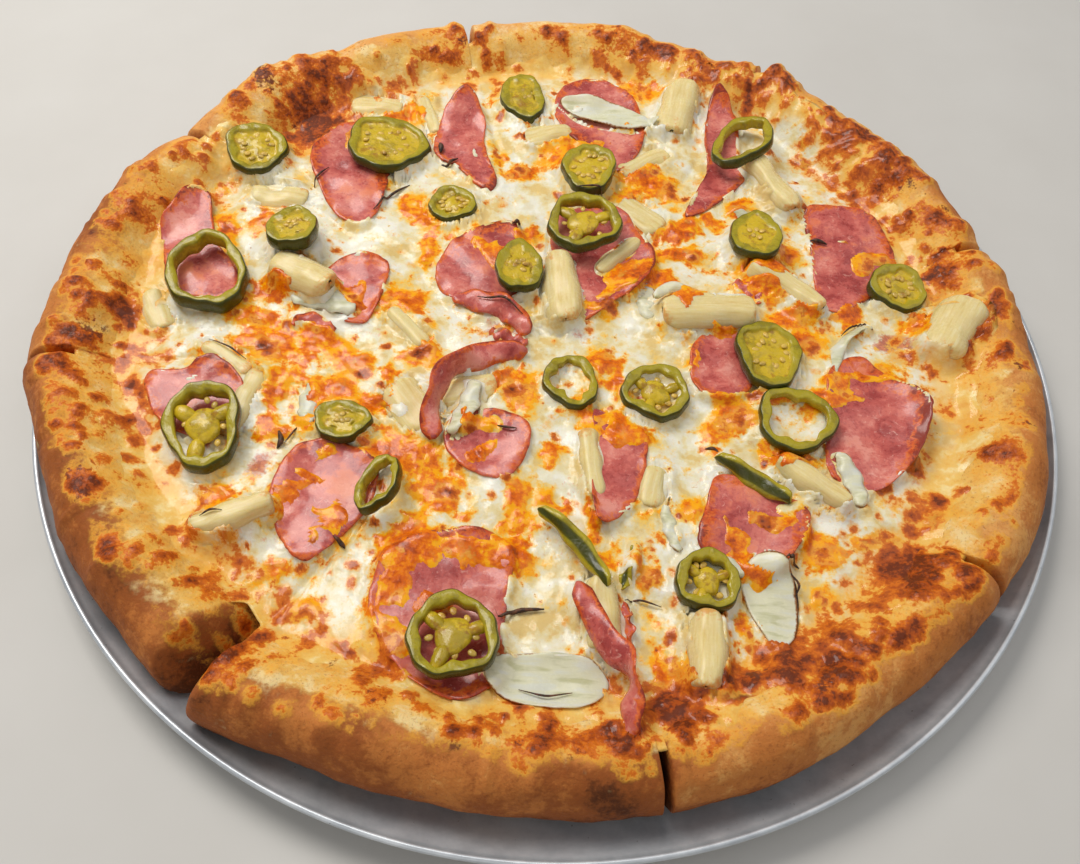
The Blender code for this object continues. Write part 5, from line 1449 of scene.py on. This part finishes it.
# white cheese that has run over toppings
coverSpots = (
    (-84, 60, 4, 3, 30, 0.6), (-40, 96, 4, 3, 0, 0.7), (2, 128, 5, 4, 0, 0.8), (118, 55, 5, 1.6, 160, 0.9),
    (-83, 103, 6, 5, 0, 0.4), (84, -74, 7, 4, 20, 1.0), (30, -60, 3, 2, 0, 0.5), (-20, -47, 7, 4, 0, 0.9),
    (57, -20, 4, 3, 0, 0.5), (109, -34, 4, 3, 0, 0.4), (-128, -38, 4, 2, 0, 0.7), (-60, -70, 4, 3, 0, 0.6),
    (62, -62, 4, 3, 0, 0.7), (125, 25, 4, 3, 0, 0.6), (60, 14, 3, 5, 0, 0.6), (-98, 18, 6, 3, 0, 0.6),
    (152, 18, 7, 3, 0, 0.7), (-18, 12, 3, 3, 0, 0.6), (34, 62, 5, 4, 0, 0.6), (-30, -30, 5, 4, 0, 0.6),
    (-150, -4, 5, 6, 0, 0.6), (-119, 64, 8, 5, 0, 0.75), (-88, 127, 7, 5, 0, 0.7),
    (-52, -44, 6, 5, 0, 0.7),
)


cheddarMap = drawn([(x, y, 1.18 * long, 1.18 * wide, turn, strength)
                    for x, y, long, wide, turn, strength in cheddarSpots])


def freckles():
    # many small brown dots, thickest towards the right and the front
    rand = np.random.RandomState(8)
    made = []
    while len(made) < cheese["freckles"]:
        turn, out = rand.uniform(0, 2 * math.pi), 150 * math.sqrt(rand.uniform(0, 1))
        x, y = out * math.cos(turn), out * math.sin(turn)
        if rand.uniform() < 0.35 + 0.35 * (out > 95) + 0.3 * (x > 60):
            size = rand.uniform(0.8, 2.3)
            made.append((x, y, size * rand.uniform(1, 1.6), size,
                         rand.uniform(0, 180), rand.uniform(0.40, 0.85)))
    return made


def discGrid(cells):
    # an even grid on a round area: share of the radius and angle for each point
    line = np.linspace(-1, 1, cells + 1)
    u, v = np.meshgrid(line, line, indexing="ij")
    wide = np.abs(u) > np.abs(v)
    share = np.where(wide, np.abs(u), np.abs(v))
    safeU, safeV = np.where(u == 0, 1, u), np.where(v == 0, 1, v)
    turn = np.where(wide, 45 * v / safeU + np.where(u < 0, 180, 0),
                    90 - 45 * u / safeV + np.where(v < 0, 180, 0))
    turn = np.where(share == 0, 0, turn)
    return share, turn % 360


def makeCheese():
    cells = cheese["cells"]
    share, turn = discGrid(cells)
    limit = np.minimum(around(dough["cheeseEnd"], turn) + 15,
                       around(dough["edge"], turn, 0.8) - dough["crestIn"] - 2)
    for cut, left, wide, _ in dough["cuts"]:
        if left > 5:
            across = acrossCut(turn, cut, 150)
            limit = limit - 17 * (1 - smooth(np.abs(across + 4), 4, np.where(across < 0, left - 2, wide + 6)))
    radius = share * limit
    x, y = ((radius * part).reshape(-1) for part in heading(turn))
    z = cheeseLevel(x, y)
    inner = 1 - smooth(np.hypot(x, y), 140, 156)
    end = around(dough["cheeseEnd"], angleOf(x, y))
    thin = smooth(np.hypot(x, y) + 6 * crumple(x, y, 10, 93), end - 18, end + 2)
    cheddar = 1.15 * blots(x, y, cheddarMap, 3.4, 71) + 0.30 * crumple(x, y, 8, 91, 3, 0.7) * (1 - thin)
    toast = np.maximum(blots(x, y, drawn(toastSpots), 2.4, 75),
                       0.9 * blots(x, y, drawn(freckles(), 1.5), 0.5, 77))
    toast += 0.22 * crumple(x, y, 6, 94) * smooth(toast + 0.6 * smooth(cheddar, 0.4, 0.9), 0.1, 0.6)
    toast = np.minimum(toast, 0.92)
    rim = rimToast(x, y)
    sauce = blots(x, y, drawn(sauceSpots), 2.0, 79)
    # soft unevenness, bubbles in browned places, and creases where it was cut
    z += inner * (0.95 * crumple(x, y, 15, 63, 2) + 0.42 * crumple(x, y, 5, 65, 3))
    bubble = np.maximum(flatLumps(x, y, 3.6, 66) + 0.1, 0)
    crisp = smooth(np.maximum(toast, 0.8 * cheddar), 0.3, 0.9)
    z += bubble * (1.1 * crisp + 0.3 * smooth(rim, 0.3, 0.8)) + 0.3 * smooth(cheddar, 0.3, 0.8)
    for cut, *_ in dough["cuts"]:
        along, across = alongCut(x, y, cut)
        across = across + 1.2 * flatLumps(x, y, 14, 67)
        parted = smooth(flatLumps(x, y, 22, 68 + int(cut)) + smooth(along, 90, 140), -0.1, 0.5)
        z -= 1.1 * bell(across, 0, 1.3) * (parted * smooth(along, 12, 30)) * inner
    # cheese climbs the sides of what lies in it and runs over some of it
    beside = sample(softened(toppings, 2.3), x, y)
    top = sample(softened(covered, 0.8), x, y) - 0.1
    stands = sample(stack, x, y)
    rise = sample(1.3 * softened(climb, 1.6) + 0.8 * softened(climb, 4.5), x, y)
    held = np.where(top > cheeseLevel(x, y) + 0.8, top, stands)
    deep = smooth(sample(softened(toppings, 1.0), x, y), 0.6, 0.95)
    thinPiece = (top > cheeseLevel(x, y) + 0.8) & (top < cheeseLevel(x, y) + 4.2)
    limitTop = held - 0.5 - np.where(thinPiece, 0.4, 1.8) * deep
    z = np.where(stands > z + 0.5, np.minimum(z + rise, limitTop), z + 0.95 * rise)
    z = np.where(thinPiece, z + deep * (np.maximum(z, limitTop) - z), z)
    ragged = 0.45 * crumple(x, y, 6, 81, 2)
    cover = np.maximum(blots(x, y, drawn(coverSpots), 2.2, 83), cheddar * 0.85)
    near = smooth(beside, 0.0, 0.2) * (1 - smooth(beside, 0.80, 0.98))
    cover = np.maximum(cover, near * smooth(crumple(x, y, 9, 84, 2), -0.15, 0.5) * 0.8)
    cover = smooth(cover + 0.3 * ragged, 0.38, 0.70)
    over = np.maximum(top, z) + 0.30 + 0.2 * flatLumps(x, y, 4, 85)
    z = z + cover * (over - z) * (top > z - 1)
    points = np.c_[x, y, z]
    faces = gridFaces(cells + 1, cells + 1)
    # underside: a skirt into the dough that stays below the top, then a flat floor
    side = cells + 1
    edge = list(range(side)) + [i * side + cells for i in range(1, side)]
    edge += [cells * side + i for i in range(cells - 1, -1, -1)] + [i * side for i in range(cells - 1, 0, -1)]
    first, count = len(points), len(edge)
    skirt = []
    for nearer, deeper in cheese["skirt"]:
        belowX, belowY = x[edge] * nearer, y[edge] * nearer
        lowered = np.minimum(cheeseLevel(belowX, belowY), rimTop(belowX, belowY) + 0.9) - deeper
        skirt.append(np.c_[belowX, belowY, np.maximum(lowered, cheese["floor"])])
    skirt = np.concatenate(skirt + [[[0, 0, cheese["floor"]]]])
    rings = np.concatenate([[edge], first + np.arange(6 * count).reshape(6, count)])
    for ring in range(6):
        for k in range(count):
            m = (k + 1) % count
            faces.append([rings[ring][k], rings[ring][m], rings[ring + 1][m], rings[ring + 1][k]])
    faces += fan(first + 5 * count, count, first + 6 * count)
    faces = [[int(i) for i in face] for face in faces]
    points = np.concatenate([points, skirt])
    fields = {"cheddar": cheddar, "toast": toast, "sauce": sauce, "rim": rim, "thin": thin,
              "char": blots(x, y, charMap, 1.6)}
    fields = {name: np.append(values, np.zeros(len(skirt))) for name, values in fields.items()}
    mesh = [f[::-1] for f in faces[:(cells * cells)]] + faces[cells * cells:]
    piece = makePiece("meltedCheese", points, mesh, cheeseFinish(), fields)
    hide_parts("cheese")


def cheeseFinish():
    melt = Finish("meltedCheese", Subsurface_Weight=0.15, Subsurface_Scale=0.005, Roughness=0.3, IOR=1.42,
                  Specular_IOR_Level=0.22, Coat_Weight=0.3, Coat_Roughness=0.07)
    melt.shader.inputs["Subsurface Radius"].default_value = (1.0, 0.75, 0.4)
    coarse, middling, fine = melt.noise(14, 3), melt.noise(4.2, 4, 0.6), melt.noise(1.5, 3, 0.6)
    milk = melt.math("ADD", melt.swing((coarse, 1.5), (middling, 0.8)), 0.5)
    colour = melt.ramp(milk, (0.26, (222, 192, 124)), (0.40, (229, 212, 162)), (0.52, (233, 225, 196)),
                       (0.70, (238, 234, 218)))
    film = melt.math("ADD", melt.field("thin"), melt.swing((coarse, 0.8), (middling, 0.6)))
    film = melt.step(film, 0.2, 0.9)
    colour = melt.blend(film, colour, filmColour(melt, coarse, middling))
    # sauce that shows through, and red and brown freckles
    specks = melt.math("MULTIPLY", melt.step(melt.noise(2.4, 4, 0.7), 0.58, 0.68),
                       melt.step(melt.noise(26, 2), 0.50, 0.62))
    colour = melt.blend(melt.math("MULTIPLY", specks, 0.5), colour, (222, 140, 92))
    sauce = melt.math("ADD", melt.field("sauce"), melt.swing((middling, 1.4), (fine, 0.9)))
    colour = melt.blend(melt.math("MULTIPLY", melt.step(sauce, 0.28, 0.75), 0.85), colour,
                        melt.ramp(fine, (0.4, (170, 60, 34)), (0.6, (204, 104, 62))))
    cheddar = melt.math("ADD", melt.field("cheddar"), melt.swing((middling, 1.3), (fine, 0.6)))
    golden = melt.math("MULTIPLY", melt.step(cheddar, 0.08, 0.40), 0.85)
    colour = melt.blend(golden, colour, (242, 196, 78))
    shade = melt.swing((coarse, 1.0), (middling, 1.2), (fine, 0.5))
    shade = melt.math("ADD", melt.add((cheddar, 0.5)), shade)
    colour = melt.blend(melt.step(cheddar, 0.32, 0.50), colour,
                        melt.ramp(shade, (0.22, (247, 168, 6)), (0.44, (234, 124, 0)), (0.68, (212, 96, 0)),
                                  (0.94, (172, 68, 2))))
    colour = toasted(melt, colour, melt.field("toast"), middling, fine)[0]
    colour, crisp = toasted(melt, colour, melt.field("rim"), middling, fine)
    colour = charred(melt, colour, middling, fine)
    rough = melt.add((0.24, 1.0), (fine, 0.20), (crisp, 0.14), (film, 0.12))
    relief = melt.add((middling, 0.5), (fine, 0.32), (melt.noise(0.8, 2), 0.1))
    return melt.finish(colour, rough, relief, 1.1, 0.6)


makeCheese()
print("cheese is poured")


# Thin charred threads and tips: path, thickness

threads = (
    (((-11, -121), (-4, -117), (4, -116)), 1.6), (((29, -112), (34, -110), (41, -112)), 0.8),
    (((-93, -57), (-91, -61), (-92, -64)), 2.2), (((-90, -61), (-88, -57), (-87, -54)), 0.8),
    (((-55, 88), (-51, 86), (-47, 90)), 1.6), (((-56, 99), (-55, 96), (-55, 93)), 2.4),
    (((-107, 66), (-104, 72), (-101, 78)), 0.9), (((-78, 55), (-73, 66), (-66, 74)), 1.2),
    (((-66, -97), (-63, -99), (-62, -100)), 1.6), (((57, -50), (60, -50), (63, -54)), 1.3),
    (((45, -61), (45, -64), (44, -66)), 1.8), (((-108, -97), (-105, -95), (-101, -95)), 0.7),
    (((-17, 55), (-18, 52), (-20, 51)), 1.6), (((103, 55), (106, 55), (110, 54)), 1.5),
    (((-30, 9), (-20, 7), (-12, 2)), 1.0), (((80, -95), (83, -93), (86, -95)), 1.5),
    (((82, -99), (85, -102), (84, -105)), 1.0), (((5, 71), (14, 72), (21, 68)), 0.8),
    (((110, 4), (115, 10), (124, 15)), 0.8), (((-2, -143), (6, -145), (14, -143)), 0.7),
    (((-17, -48), (-13, -50), (-10, -50)), 1.0), (((-127, -20), (-118, -23), (-111, -28)), 0.7),
)


def threadParts(path, thickness, seed, sides=8):
    # a thin round thread, thickest in the middle, that lies over what is below it
    spots, side, share = smoothPath(path, 18, 8)
    radius = 0.5 * thickness * (0.25 + 0.75 * np.sin(math.pi * np.clip(share, 0.04, 0.96)))
    radius *= 1 + 0.25 * lumps(np.c_[spots, 0 * share], 2, seed)
    height = sample(stack, *spots.T) + 0.35 * thickness + 0.6 * np.sin(math.pi * share)
    turn = np.linspace(0, 2 * math.pi, sides, endpoint=False)
    rings = [np.c_[spots + side * (radius * math.cos(t))[:, None], height + radius * math.sin(t)]
             for t in turn]
    points = np.array(rings).transpose(1, 0, 2).reshape(-1, 3)
    faces = gridFaces(len(spots), sides, wrap=True)
    faces += [list(range(sides))[::-1], [(len(spots) - 1) * sides + k for k in range(sides)]]
    return points, faces, {"edge": 0.0}


burnt = Finish("burntThread", Roughness=0.55)
burnt.finish(burnt.ramp(burnt.noise(1.5, 3), (0.38, (38, 24, 16)), (0.66, (104, 60, 30))), None,
             burnt.noise(0.6, 2), 0.3, 0.6)
points, faces, fields = joined([threadParts(path, thick, 400 + k) for k, (path, thick) in enumerate(threads)])
makePiece("charredThreads", points, faces, burnt.material)
print("charred threads are laid")
